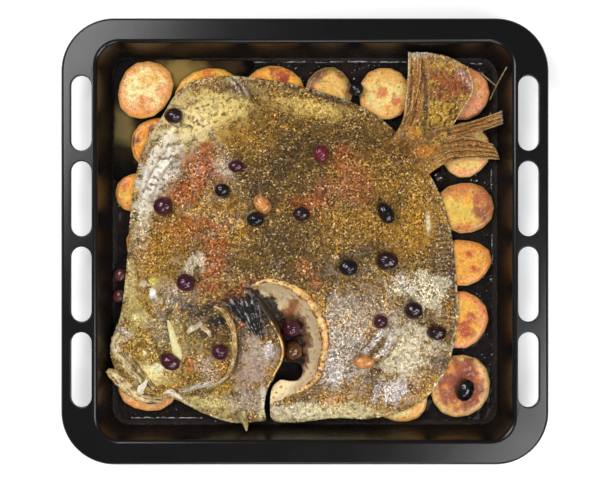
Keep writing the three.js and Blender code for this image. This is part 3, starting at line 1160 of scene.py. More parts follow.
@dataclass
class TurbotForm:
    """The fish's outline and heights, as its solid has them, with the finer relief.

    `cut_rim` and `cut_wall` are shares across the cut: where its flesh begins and where its
    steep side ends. `nowhere` stands for a share that lies far outside it.
    """

    middle: Place = (-19, -8)
    crown: float = 42
    fin_edge: float = 13.2
    fin_root: float = 16
    fin_underside: float = 10.2
    fin_width: float = 24
    flank_width: float = 110
    overhang: float = 48
    head: Place = (-150, -106)
    head_spread: float = 36
    snout_lift: float = 5
    brow_lift: float = 5
    floor_top: float = 1.5
    tail_root: Place = (101, 87)
    tail_root_half: float = 25
    tail_root_top: float = 18.6
    thinnest: float = 1.0
    thinnest_floor: float = 1.4
    nowhere: float = 9.0
    cut_rim: float = 0.03
    cut_wall: float = 0.09
    flap_curve: float = 1.45
    outline_step: float = 0.8
    fin_ray_pitch: float = 4.2
    back_edge: tuple[Place, ...] = (
        (81, 108), (58, 125), (16, 141), (-31, 152), (-78, 156), (-115, 146),
        (-135, 118), (-155, 81), (-164, 33), (-168, -18), (-174, -70),
    )
    head_edge: tuple[Place, ...] = (
        (-181, -90), (-183, -108), (-166, -141), (-146, -152), (-127, -148),
    )
    chest_edge: tuple[Place, ...] = ((-94, -163), (-69, -171), (-44, -170))
    notch: tuple[Place, ...] = ((-38, -157), (-32, -162))
    belly_edge: tuple[Place, ...] = (
        (-14, -171), (28, -167), (66, -167), (109, -152), (133, -122), (145, -72),
        (144, -46), (136, 20), (118, 63),
    )
    slit: tuple[Place, ...] = (
        (-37.3, -169), (-38.4, -157), (-36.6, -144.6), (-33, -135), (-28.4, -127),
        (-26, -119), (-21, -115), (-10, -114), (-3.5, -117), (-2.4, -125), (-7.5, -131.5),
        (-14.5, -132), (-23, -131), (-30, -137), (-32.4, -145), (-32.8, -157), (-31, -168),
    )
    swellings: tuple[tuple[Place, float, float], ...] = (
        ((-112, -96), 24, 3.5), ((-16, -36), 15, 3), ((56, -104), 12, -4),
        ((104, 96), 26, 5), ((52, 52), 34, 2),
    )
    eyes: tuple[tuple[Place, float], ...] = (((-156, -72), 9), ((-150, -103), 8.5))
    stations: tuple[CutStation, ...] = tuple(CutStation(*row) for row in (
        ((-52, -45), (-50, -41), 0.4, 26),
        ((-45, -53), (-36, -37), 0.42, 16),
        ((-36, -65), (-14, -43), 0.36, 11),
        ((-28, -79), (2, -56), 0.3, 9),
        ((-22, -91), (12, -73), 0.56, 8),
        ((-20, -101), (16, -91), 0.56, 7),
        ((-22, -112), (14, -111), 0.68, 7),
        ((-28, -124), (8, -129), 0.72, 7),
        ((-34, -136), (-9, -142), 0.6, 7),
        ((-38, -150), (-30, -152), 0.6, 7),
    ))
    uneven: Unevenness = field(default_factory=lambda: Unevenness(11))

    def __post_init__(self) -> None:
        """Works out the outline and the cut's sides."""
        whole = self.back_edge + self.head_edge + self.chest_edge + self.notch + self.belly_edge
        self.outline = spaced(smooth_curve(np.array(whole), True), self.outline_step, True)
        self.free_line = self.outline[
            np.linalg.norm(self.outline - self.tail_root, axis=1) > self.tail_root_half
        ]
        slit = self.back_edge + self.head_edge + self.chest_edge + self.slit + self.belly_edge
        self.shore = spaced(smooth_curve(np.array(slit), True), 1.15, True)
        self.cut_left = smooth_curve([s.left for s in self.stations], False, 16)
        self.cut_right = smooth_curve([s.right for s in self.stations], False, 16)
        share = np.linspace(0, len(self.stations) - 1, len(self.cut_left))
        known = np.arange(len(self.stations))
        self.cut_shelf = np.interp(share, known, [s.shelf for s in self.stations])
        self.cut_floor = np.interp(share, known, [s.floor for s in self.stations])

    def inward(self, points: np.ndarray) -> np.ndarray:
        """Measures how far in from the fins' edge each point is."""
        return nearest(points, self.free_line)[0]

    def plain_height(self, points: np.ndarray, inward: np.ndarray) -> np.ndarray:
        """Reads the skin's height as the solid has it.

        Args:
            points: Rows that start with x and y.
            inward: Each point's distance in from the edge.

        Returns:
            The heights.
        """
        inside = ease(inward, 0, self.fin_width)
        fin = self.fin_edge + (self.fin_root - self.fin_edge) * inside
        rise = np.clip((inward - self.fin_width * 0.8) / self.flank_width, 0, 1)
        flank = (self.crown - self.fin_root) * np.sin(rise * np.pi / 2)
        lift = self.snout_lift + self.brow_lift * inside
        head = mound(points, self.head, self.head_spread) * lift
        relief = sum(rise_mm * mound(points, at, spread) for at, spread, rise_mm in self.swellings)
        return fin + flank + head + relief * inside

    def underside(self, inward: np.ndarray) -> np.ndarray:
        """Reads the underside's height from the distance in from the edge."""
        down = ease(inward, self.overhang, self.overhang + 18)
        return self.fin_underside + (self.floor_top - self.fin_underside) * down

    def across_cut(self, points: np.ndarray) -> tuple[np.ndarray, np.ndarray]:
        """Finds where points lie in the cut.

        Args:
            points: Rows that start with x and y.

        Returns:
            The share down the cut, and the share across it from the head side: below 0 or
            above 1 outside the cut, and `nowhere` where a point isn't near it.
        """
        down = np.zeros(len(points))
        across = np.full(len(points), self.nowhere)
        sides = np.vstack([self.cut_left, self.cut_right])
        low, high = sides.min(0) - 8, sides.max(0) + 8
        near = ((points[:, :2] > low) & (points[:, :2] < high)).all(1)
        here = points[near][:, :2]
        middle = (self.cut_left + self.cut_right) / 2
        _, row = nearest(here, middle)
        best = np.full(len(here), np.inf)
        found_down, found_across = np.zeros(len(here)), np.full(len(here), self.nowhere)
        for shift in range(-10, 11):
            at = np.clip(row + shift, 0, len(middle) - 1)
            span = self.cut_right[at] - self.cut_left[at]
            width = np.maximum(np.linalg.norm(span, axis=1), 1e-6)
            offset = here - self.cut_left[at]
            share = (offset * span).sum(1) / width**2
            off = abs(offset[:, 0] * span[:, 1] - offset[:, 1] * span[:, 0]) / width
            better = off < best
            best = np.where(better, off, best)
            found_down = np.where(better, at, found_down)
            found_across = np.where(better, share, found_across)
        found_across = np.where(best < 2.0, found_across, self.nowhere)
        down[near] = found_down / (len(middle) - 1)
        across[near] = found_across
        return down, across

    def cut_height(
        self, skin: np.ndarray, under: np.ndarray, down: np.ndarray, across: np.ndarray
    ) -> np.ndarray:
        """Sinks the skin into the cut: a steep head side, a hollow and a sloping flap.

        Args:
            skin: The skin's heights.
            under: The underside's heights.
            down: Shares down the cut.
            across: Shares across it.

        Returns:
            The heights with the cut.
        """
        row = down * (len(self.cut_shelf) - 1)
        known = np.arange(len(self.cut_shelf))
        shelf = np.interp(row, known, self.cut_shelf)
        floor = np.maximum(np.interp(row, known, self.cut_floor), under + self.thinnest_floor)
        slope = np.clip((across - shelf) / np.maximum(1 - shelf, 1e-6), 0, 1)
        sunk = floor + (np.maximum(skin, floor) - floor) * slope**self.flap_curve
        wall = ease(across, 0.0, self.cut_wall)
        sunk = skin + (sunk - skin) * wall
        inside = (across > 0) & (across < 1)
        return np.where(inside, sunk, skin)

    def ridge_height(self, points: np.ndarray, ridge: Ridge) -> np.ndarray:
        """Reads one ridge's height, which dies away at both ends.

        Args:
            points: Rows that start with x and y.
            ridge: The ridge or groove.

        Returns:
            What it adds to each height.
        """
        away, share = along_line(points, smooth_curve(ridge.route, False), 2.4 * ridge.half_width)
        end = np.sin(np.pi * np.clip(share, 0.04, 0.96)) ** 0.5
        return ridge.rise * end * np.exp(-((away / ridge.half_width) ** 2) * 1.6)

    def eye_height(self, points: np.ndarray, skin: np.ndarray) -> np.ndarray:
        """Raises the eyes out of the skin.

        Args:
            points: Rows that start with x and y.
            skin: The skin's heights.

        Returns:
            The heights with the eyes.
        """
        for at, radius in self.eyes:
            away = (points[:, :2] - at) / (radius, radius * 0.9)
            over = 1 - (away**2).sum(1)
            base = skin[np.argmin((away**2).sum(1))] - 0.12 * radius
            cap = base + 0.58 * radius * np.sqrt(np.clip(over, 0, 1))
            rim = 0.7 * np.exp(-(((np.sqrt((away**2).sum(1)) - 1.05) / 0.16) ** 2))
            skin = np.where(over > 0, np.maximum(skin, cap), skin) - rim
        return skin


@dataclass(frozen=True)
class SkinZone:
    """A patch of one tone, mostly baked colour, some on the skin painted glare or highlights: its
    middle, half sizes, turn and strength.
    """

    tone: Colour
    at: Place
    half: Place
    turn: float = 0
    strength: float = 1
    ragged: float = 0.65

    def share(self, points: np.ndarray, rough: np.ndarray) -> np.ndarray:
        """Reads how much of the patch's tone each point has.

        Args:
            points: Rows that start with x and y.
            rough: Noise at those points, which tears the patch's edge.

        Returns:
            A share for each point.
        """
        turn = math.radians(self.turn)
        dx, dy = (points[:, :2] - np.array(self.at)).T
        along = (dx * math.cos(turn) + dy * math.sin(turn)) / self.half[0]
        across = (-dx * math.sin(turn) + dy * math.cos(turn)) / self.half[1]
        away = np.hypot(along, across) + self.ragged * rough
        return self.strength * ease(-away, -1.4, -0.5)


@dataclass(frozen=True)
class Stroke:
    """A line on the skin of another tone: its route, half width and strength."""

    tone: Colour
    route: tuple[Place, ...]
    half_width: float
    strength: float = 0.8
    ragged: float = 0.45

    def share(self, points: np.ndarray, rough: np.ndarray) -> np.ndarray:
        """Reads how much of the stroke's tone each point has.

        Args:
            points: Rows that start with x and y.
            rough: Noise at those points, which frays the stroke.

        Returns:
            A share for each point.
        """
        away, along = along_line(points, smooth_curve(self.route, False), 2.2 * self.half_width)
        end = np.sin(np.pi * np.clip(along, 0.03, 0.97)) ** 0.35
        away = away / self.half_width + self.ragged * rough
        return self.strength * end * ease(-away, -1.4, -0.6)


# ------------------------------------------------------------------ turbot: its colours


class SkinTone(Enum):
    """The tones that the skin has baked to; CREAM and LILAC also stand for painted glare and
    highlights.
    """

    OLIVE = (139, 104, 45)
    DEEP = (92, 68, 28)
    SHADE = (56, 40, 20)
    OCHRE = (186, 134, 42)
    GOLD = (226, 192, 96)
    CREAM = (250, 236, 200)
    LEAF = (220, 202, 128)
    RUST = (176, 88, 20)
    RUSSET = (168, 98, 50)
    CHAR = (28, 22, 20)
    PLUM = (76, 42, 34)
    SILVER = (190, 172, 154)
    LILAC = (226, 214, 212)
    BONE = (240, 230, 176)
    FLESH = (255, 230, 184)


@dataclass
class SkinPaint:
    """Paints the fish: broad mottling first, then each patch and line of another tone, mostly
    baked colour, some painted glare, highlights and shade.

    The calm patches have fewer grains, and those whose numbers are in `pored` show pores.
    """

    uneven: Unevenness = field(default_factory=lambda: Unevenness(23))
    zones: tuple[SkinZone, ...] = tuple(SkinZone(*row) for row in (
        (SkinTone.DEEP, (-20, 62), (38, 46), -20, 0.75),
        (SkinTone.DEEP, (-14, 4), (56, 34), 10, 0.6),
        (SkinTone.DEEP, (20, 100), (60, 14), -25, 0.5),
        (SkinTone.SHADE, (-26, 78), (16, 20), 20, 0.45),
        (SkinTone.SHADE, (-32, 40), (18, 14), 0, 0.35),
        (SkinTone.GOLD, (-92, 120), (44, 24), 25, 0.8),
        ((250, 222, 140), (-84, 122), (32, 18), 20, 0.9),
        ((248, 224, 156), (-112, 108), (24, 26), -45, 0.75),
        ((246, 208, 112), (5, 126), (34, 10), -12, 0.72),
        (SkinTone.OCHRE, (-56, 96), (28, 16), -20, 0.5),
        # Near-white painted glare on the upper-left slope, in this row and the next.
        ((255, 248, 230), (-137, 64), (16, 36), -28, 0.97),
        ((255, 248, 234), (-148, 48), (6, 26), -22, 0.9),
        (SkinTone.CREAM, (-152, 16), (8, 26), -8, 0.8),
        (SkinTone.CREAM, (-121, 62), (8, 6), 20, 0.9),
        (SkinTone.OCHRE, (-146, -20), (18, 34), 0, 0.7),
        (SkinTone.LEAF, (-164, -46), (6, 30), 4, 0.7),
        (SkinTone.RUST, (-96, 66), (20, 20), 0, 0.92),
        (SkinTone.RUST, (-91, 86), (9, 6), 0, 0.9),
        (SkinTone.RUST, (-112, 46), (20, 14), 20, 0.85),
        ((210, 140, 96), (-100, 66), (9, 9), 0, 0.7),
        (SkinTone.PLUM, (-89, 60), (5, 8), 0, 0.6),
        (SkinTone.RUST, (-112, 12), (26, 12), 10, 0.7),
        (SkinTone.RUST, (-84, -18), (12, 36), -8, 0.85),
        (SkinTone.RUST, (-60, -46), (18, 8), 35, 0.8),
        (SkinTone.OCHRE, (-134, 0), (22, 18), 0, 0.5),
        (SkinTone.CREAM, (-74, 70), (9, 8), 0, 0.5),
        (SkinTone.RUST, (2, 32), (13, 9), 0, 0.8),
        (SkinTone.RUSSET, (43, 60), (16, 28), 24, 0.9),
        (SkinTone.RUSSET, (18, 41), (13, 13), 0, 0.75),
        (SkinTone.RUST, (32, 84), (8, 6), 0, 0.5),
        (SkinTone.RUSSET, (0, -24), (6, 9), 20, 0.95),
        (SkinTone.RUSSET, (10, -38), (6, 6), 0, 0.9),
        (SkinTone.PLUM, (22, 138), (27, 5.5), -14, 1),
        (SkinTone.PLUM, (-66, 143), (20, 6), -12, 0.75),
        (SkinTone.PLUM, (140, -34), (5, 36), 0, 1),
        ((200, 146, 48), (104, 20), (17, 38), -5, 0.85),
        (SkinTone.OCHRE, (62, 14), (34, 14), -20, 0.6),
        ((126, 78, 18), (104, 92), (26, 22), 35, 0.75),
        ((226, 146, 40), (103, 102), (6, 5), 0, 0.9),
        ((206, 126, 44), (112, 84), (10, 6), 10, 0.85),
        ((208, 194, 176), (36, -92), (24, 44), 5, 0.78),
        (SkinTone.SILVER, (70, -66), (26, 22), 0, 0.45),
        # Painted glare on the right of the belly, in this row and the next.
        (SkinTone.CREAM, (114, -46), (19, 20), 0, 0.9),
        (SkinTone.CREAM, (88, -40), (16, 10), 40, 0.7),
        (SkinTone.CREAM, (96, -106), (30, 25), 50, 0.85),
        (SkinTone.LILAC, (82, -142), (18, 11), 10, 0.95),
        (SkinTone.LILAC, (26, -118), (14, 18), 10, 0.6),
        (SkinTone.CREAM, (-4, -160), (32, 9), 0, 0.8),
        ((236, 220, 166), (34, -158), (36, 8), 0, 0.85),
        ((206, 138, 78), (28, -148), (12, 6), 10, 0.7),
        (SkinTone.PLUM, (128, -116), (8, 9), 0, 0.7),
        (SkinTone.OCHRE, (116, -138), (17, 16), 30, 0.75),
        (SkinTone.CREAM, (-101, -20), (12, 7), 20, 0.8, 1.1),
        (SkinTone.GOLD, (-142, -98), (42, 48), 0, 0.5),
        (SkinTone.SILVER, (-122, -50), (16, 10), 0, 0.7),
        # Painted highlights: the small cream spot here and the near-white one two rows down.
        (SkinTone.CREAM, (-151, -40), (4, 3.5), 10, 0.8),
        ((226, 212, 110), (-142, -38), (5, 4), 0, 0.95, 0.2),
        ((252, 248, 236), (-142, -49), (3.6, 6), 14, 1, 0.15),
        (SkinTone.SHADE, (-134, -88), (7, 22), 6, 0.55),
        (SkinTone.SILVER, (-140, -76), (12, 12), 0, 0.35),
        (SkinTone.PLUM, (-86, -84), (12, 14), 0, 0.4),
        (SkinTone.CHAR, (-54, -62), (27, 18), 20, 0.97),
        (SkinTone.CHAR, (-39, -70), (8, 24), 20, 0.95),
        (SkinTone.CHAR, (-95, -65), (25, 10), -10, 0.9, 0.9),
        (SkinTone.CHAR, (-92, -82), (9, 6), 0, 0.75),
        # Painted highlight: a silver streak on the charred skin.
        (SkinTone.SILVER, (-47, -50), (3, 9), 28, 0.7),
        (SkinTone.PLUM, (-54, -86), (10, 6), 0, 0.8),
        (SkinTone.SILVER, (-45, -108), (15, 24), 0, 0.85),
        # Painted highlight on the gill cover.
        (SkinTone.LILAC, (-34, -100), (5, 9), 0, 0.9),
        ((190, 150, 130), (-54, -126), (12, 14), 0, 0.6),
        ((206, 118, 48), (-106, -114), (5, 7), 0, 0.9),
        (SkinTone.SILVER, (-92, -118), (8, 16), 30, 0.6),
        ((190, 150, 50), (-76, -137), (12, 6), 10, 0.85),
        (SkinTone.LEAF, (-86, -153), (30, 9), -14, 0.8),
        (SkinTone.SILVER, (-56, -150), (16, 14), 0, 0.7),
        ((248, 230, 156), (-142, -124), (16, 13), 0, 1),
        ((255, 246, 200), (-136, -117), (9, 5), 10, 0.9),
        (SkinTone.OCHRE, (-128, -136), (18, 8), 10, 0.5),
        (SkinTone.LILAC, (-172, -88), (9, 9), 0, 0.6),
        (SkinTone.LEAF, (-156, -72), (9.5, 8.5), 0, 0.6, 0.4),
        ((250, 244, 180), (-158, -71), (5, 2.4), 40, 0.7, 0.5),
        ((104, 74, 30), (-150, -102), (11, 10), 0, 0.75, 0.4),
        ((180, 144, 50), (-150, -102), (7, 6.4), 0, 0.8, 0.4),
        # Painted highlight on the lower eye.
        ((255, 246, 190), (-148, -103), (1.8, 2.6), 0, 1, 0.3),
    ))
    strokes: tuple[Stroke, ...] = tuple(Stroke(*row) for row in (
        # Painted glare streaks on the upper-left slope: the cream stroke here and the lilac one
        # three rows down.
        (SkinTone.CREAM, ((-150, 70), (-135, 95), (-116, 113)), 2.2, 0.85),
        ((150, 120, 66), ((-154, 42), (-143, 67), (-128, 90)), 1.2, 0.85),
        ((168, 132, 70), ((-146, 38), (-133, 64), (-116, 84)), 1.6, 0.8),
        (SkinTone.LILAC, ((-140, 44), (-130, 60), (-120, 68)), 2.4, 0.9),
        ((176, 160, 120), ((-158, 10), (-157, 40), (-150, 74)), 1.2, 0.7),
        (
            SkinTone.SHADE,
            ((-72, -58), (-63, -70), (-60, -82), (-60, -97), (-62, -110), (-66, -124)), 1.8,
            0.85,
        ),
        ((212, 100, 32), ((-66, -82), (-58, -76), (-50, -78), (-44, -84)), 1.5, 0.95, 0.2),
        (SkinTone.SHADE, ((-122, -146), (-111, -144), (-91, -141), (-78, -134)), 1.4, 0.8),
        (SkinTone.SHADE, ((-143, -56), (-131, -70), (-127, -93), (-133, -112)), 2.2, 0.6),
        (SkinTone.SHADE, ((-113, -70), (-108, -90), (-104, -110)), 1.6, 0.5),
        ((226, 218, 160), ((-114, -152), (-97, -163), (-80, -168), (-62, -172)), 1.8, 0.85),
        ((250, 240, 214), ((-40, -136), (-39, -150), (-42, -166)), 2.0, 0.95),
        # Belly wrinkles: the lilac and pale strokes are painted highlights on their crests, the
        # SHADE and DEEP strokes painted shade in their grooves.
        (SkinTone.LILAC, ((41, -97), (51, -88), (54, -79)), 1.4, 0.9),
        (SkinTone.LILAC, ((54, -104), (66, -91), (73, -79)), 2.6, 0.95),
        (SkinTone.LILAC, ((64, -110), (76, -98), (82, -84)), 2.4, 0.95),
        ((236, 222, 180), ((72, -115), (85, -104), (94, -91)), 2.4, 0.9),
        (SkinTone.SHADE, ((50, -104), (60, -92), (65, -82)), 1.2, 0.7),
        (SkinTone.SHADE, ((61, -108), (71, -96), (78, -84)), 1.2, 0.7),
        (SkinTone.DEEP, ((69, -114), (81, -102), (89, -88)), 1.2, 0.7),
        # Painted glare streak on the right of the belly.
        (SkinTone.LILAC, ((86, -32), (92, -40), (100, -48)), 2.0, 0.8),
        ((234, 224, 168), ((-16, -165), (24, -166), (70, -163)), 1.8, 0.8),
        ((240, 230, 190), ((115, 27), (116, 17), (116, 7)), 1.9, 1, 0.1),
        (SkinTone.LILAC, ((22, -70), (30, -92), (28, -118)), 1.6, 0.5),
        (SkinTone.LILAC, ((14, -132), (22, -128), (30, -134)), 2.0, 0.6),
        ((214, 140, 84), ((36, 46), (42, 58), (52, 74)), 1.4, 0.6),
        ((206, 150, 110), ((30, 40), (36, 54), (44, 72)), 1.3, 0.6),
        ((120, 50, 30), ((13, 34), (17, 42), (19, 52)), 1.2, 0.7),
        ((224, 170, 120), ((17, 34), (21, 42), (24, 52)), 1.1, 0.6),
        ((226, 206, 184), ((-73, 154), (-66, 148), (-60, 138)), 1.3, 0.9),
        ((206, 180, 160), ((-66, 154), (-59, 147), (-54, 138)), 1.2, 0.9),
        ((40, 24, 22), ((-69, 154), (-62, 147), (-57, 137)), 1.2, 0.9),
        ((90, 70, 78), ((-60, 151), (-54, 144), (-50, 136)), 1.3, 0.9),
    ))
    calm: tuple[SkinZone, ...] = tuple(SkinZone(NO_TONE, *row) for row in (
        ((-92, 118), (50, 29), 25, 0.85),
        ((-137, 62), (18, 40), -28, 0.85),
        ((-156, -72), (10, 9), 0, 0.35),
        ((-150, -102), (11, 10), 0, 0.35),
        ((-142, -123), (16, 14), 0, 0.8),
        ((-86, -156), (38, 12), -14, 0.5),
        ((20, -162), (70, 9), 0, 0.5),
        ((-142, -46), (7, 10), 0, 0.9),
        ((-46, -114), (18, 32), 0, 0.6),
        ((98, -104), (26, 22), 50, 0.5),
        ((5, 126), (34, 9), -12, 0.35),
        ((-160, -50), (14, 26), 0, 0.45),
        ((116, 17), (4, 12), 0, 0.9),
    ))
    pored: tuple[int, ...] = (0, 1, 5, 6, 8, 9)

    def skin(self, points: np.ndarray, inward: np.ndarray) -> np.ndarray:
        """Paints the skin.

        Args:
            points: Rows of x, y and z.
            inward: Each point's distance in from the fins' edge.

        Returns:
            A linear colour for each point.
        """
        flat = points * (1, 1, 0)
        broad = self.uneven.layered(flat, 46, 2)
        patchy = self.uneven.layered(flat + 90, 15, 3)
        rough = self.uneven.layered(flat + 300, 9, 3)
        fine = self.uneven.layered(flat + 700, 3.4, 2)
        colour = linear(SkinTone.OLIVE)
        colour = blend(colour, SkinTone.OCHRE, 0.6 * ease(broad + 0.6 * patchy, -0.1, 0.7))
        colour = blend(colour, SkinTone.DEEP, 0.7 * ease(patchy - broad, 0.0, 0.8))
        torn = 0.85 + 0.25 * np.clip(fine, -1, 0.6)
        for mark in self.zones + self.strokes:
            colour = blend(colour, mark.tone, mark.share(points, rough + 0.7 * fine) * torn)
        edge = ease(-inward, -4, -0.5) * ease(patchy + 0.5 * fine, -0.3, 0.4)
        colour = blend(colour, (232, 214, 160), 0.7 * edge)
        pores = ease(self.uneven.at(flat + 900, 3.4) + 0.3 * rough, 0.3, 0.5)
        pale = sum(self.calm[k].share(points, rough) for k in self.pored)
        colour = blend(colour, (86, 62, 26), 0.85 * pores * np.clip(1.4 * pale, 0, 1))
        return colour * np.clip(1.1 + 0.34 * rough + 0.4 * fine, 0.25, 2)[:, None]

    def speckle(self, points: np.ndarray) -> np.ndarray:
        """Says how strongly dark grains and the pale flecks, which are painted glints, break the
        skin up.

        Args:
            points: Rows of x, y and z.

        Returns:
            A share for each point.
        """
        rough = self.uneven.layered(points * (1, 1, 0) + 300, 9, 3)
        share = np.clip(0.86 + 0.5 * rough, 0, 1)
        for zone in self.calm:
            share = share * (1 - zone.share(points, rough))
        return share

    def flesh(self, points: np.ndarray, down: np.ndarray, across: np.ndarray) -> np.ndarray:
        """Paints the inside of the cut: pale flesh, brown where it dried, a darker brown band
        towards the hollow, and black painted shade in the hollow.

        Args:
            points: Rows of x, y and z.
            down: Shares down the cut.
            across: Shares across it.

        Returns:
            A linear colour for each point.
        """
        rough = self.uneven.layered(points + 40, 10, 3)
        fine = self.uneven.layered(points + 140, 3, 2)
        colour = linear(SkinTone.FLESH)
        brown = SkinZone(SkinTone.RUST, (-14, -66), (17, 7), 55, 0.9, 0.6).share(points, rough)
        colour = blend(colour, (230, 156, 74), 0.6 * ease(rough + 0.4 * fine, 0.15, 0.6))
        colour = blend(colour, (146, 80, 34), brown)
        torn = 0.16 * rough + 0.08 * fine
        low = ease(down, 0.3, 0.42) * ease(-down, -0.86, -0.76)
        colour = blend(colour, (112, 60, 28), 0.9 * ease(-across + torn, -0.84, -0.68) * low)
        # Painted shade: black in the hollow and high up along the head side.
        hollow = np.maximum(
            ease(-across + torn, -0.66, -0.5) * low,
            ease(-across + torn, -0.44, -0.3) * ease(-down, -0.5, -0.3),
        )
        colour = blend(colour, (20, 11, 9), 0.97 * hollow)
        pale = ease(down, 0.84, 0.9) * ease(-across, -0.7, -0.5)
        colour = blend(colour, (216, 198, 144), 0.8 * pale)
        colour = blend(colour, (84, 48, 26), 0.8 * ease(fine, 0.45, 0.75))
        colour = colour * np.clip(1.3 + 0.2 * rough + 0.2 * fine, 0.4, 1.7)[:, None]
        return colour / np.maximum(colour.max(1, keepdims=True), 1)


# ------------------------------------------------------------------ turbot: its pieces


@dataclass(frozen=True)
class HeadBone:
    """A jaw, lip or bone that shows: rows of x, y, lift over the skin and radius."""

    name: str
    rows: tuple[tuple[float, float, float, float], ...]
    tone: Colour
    dark: Colour
    ribs: int = 0
    rib_depth: float = 0.0
    flat: float = 0.85
    lumpy: float = 0.22


@dataclass(frozen=True)
class TailLobe:
    """One lobe of the tail fin between two edges, folded along its rays or partly smooth."""

    name: str
    left: tuple[Spot, ...]
    right: tuple[Spot, ...]
    rays: int
    bow: float
    tip: Rgb
    smooth: bool = False


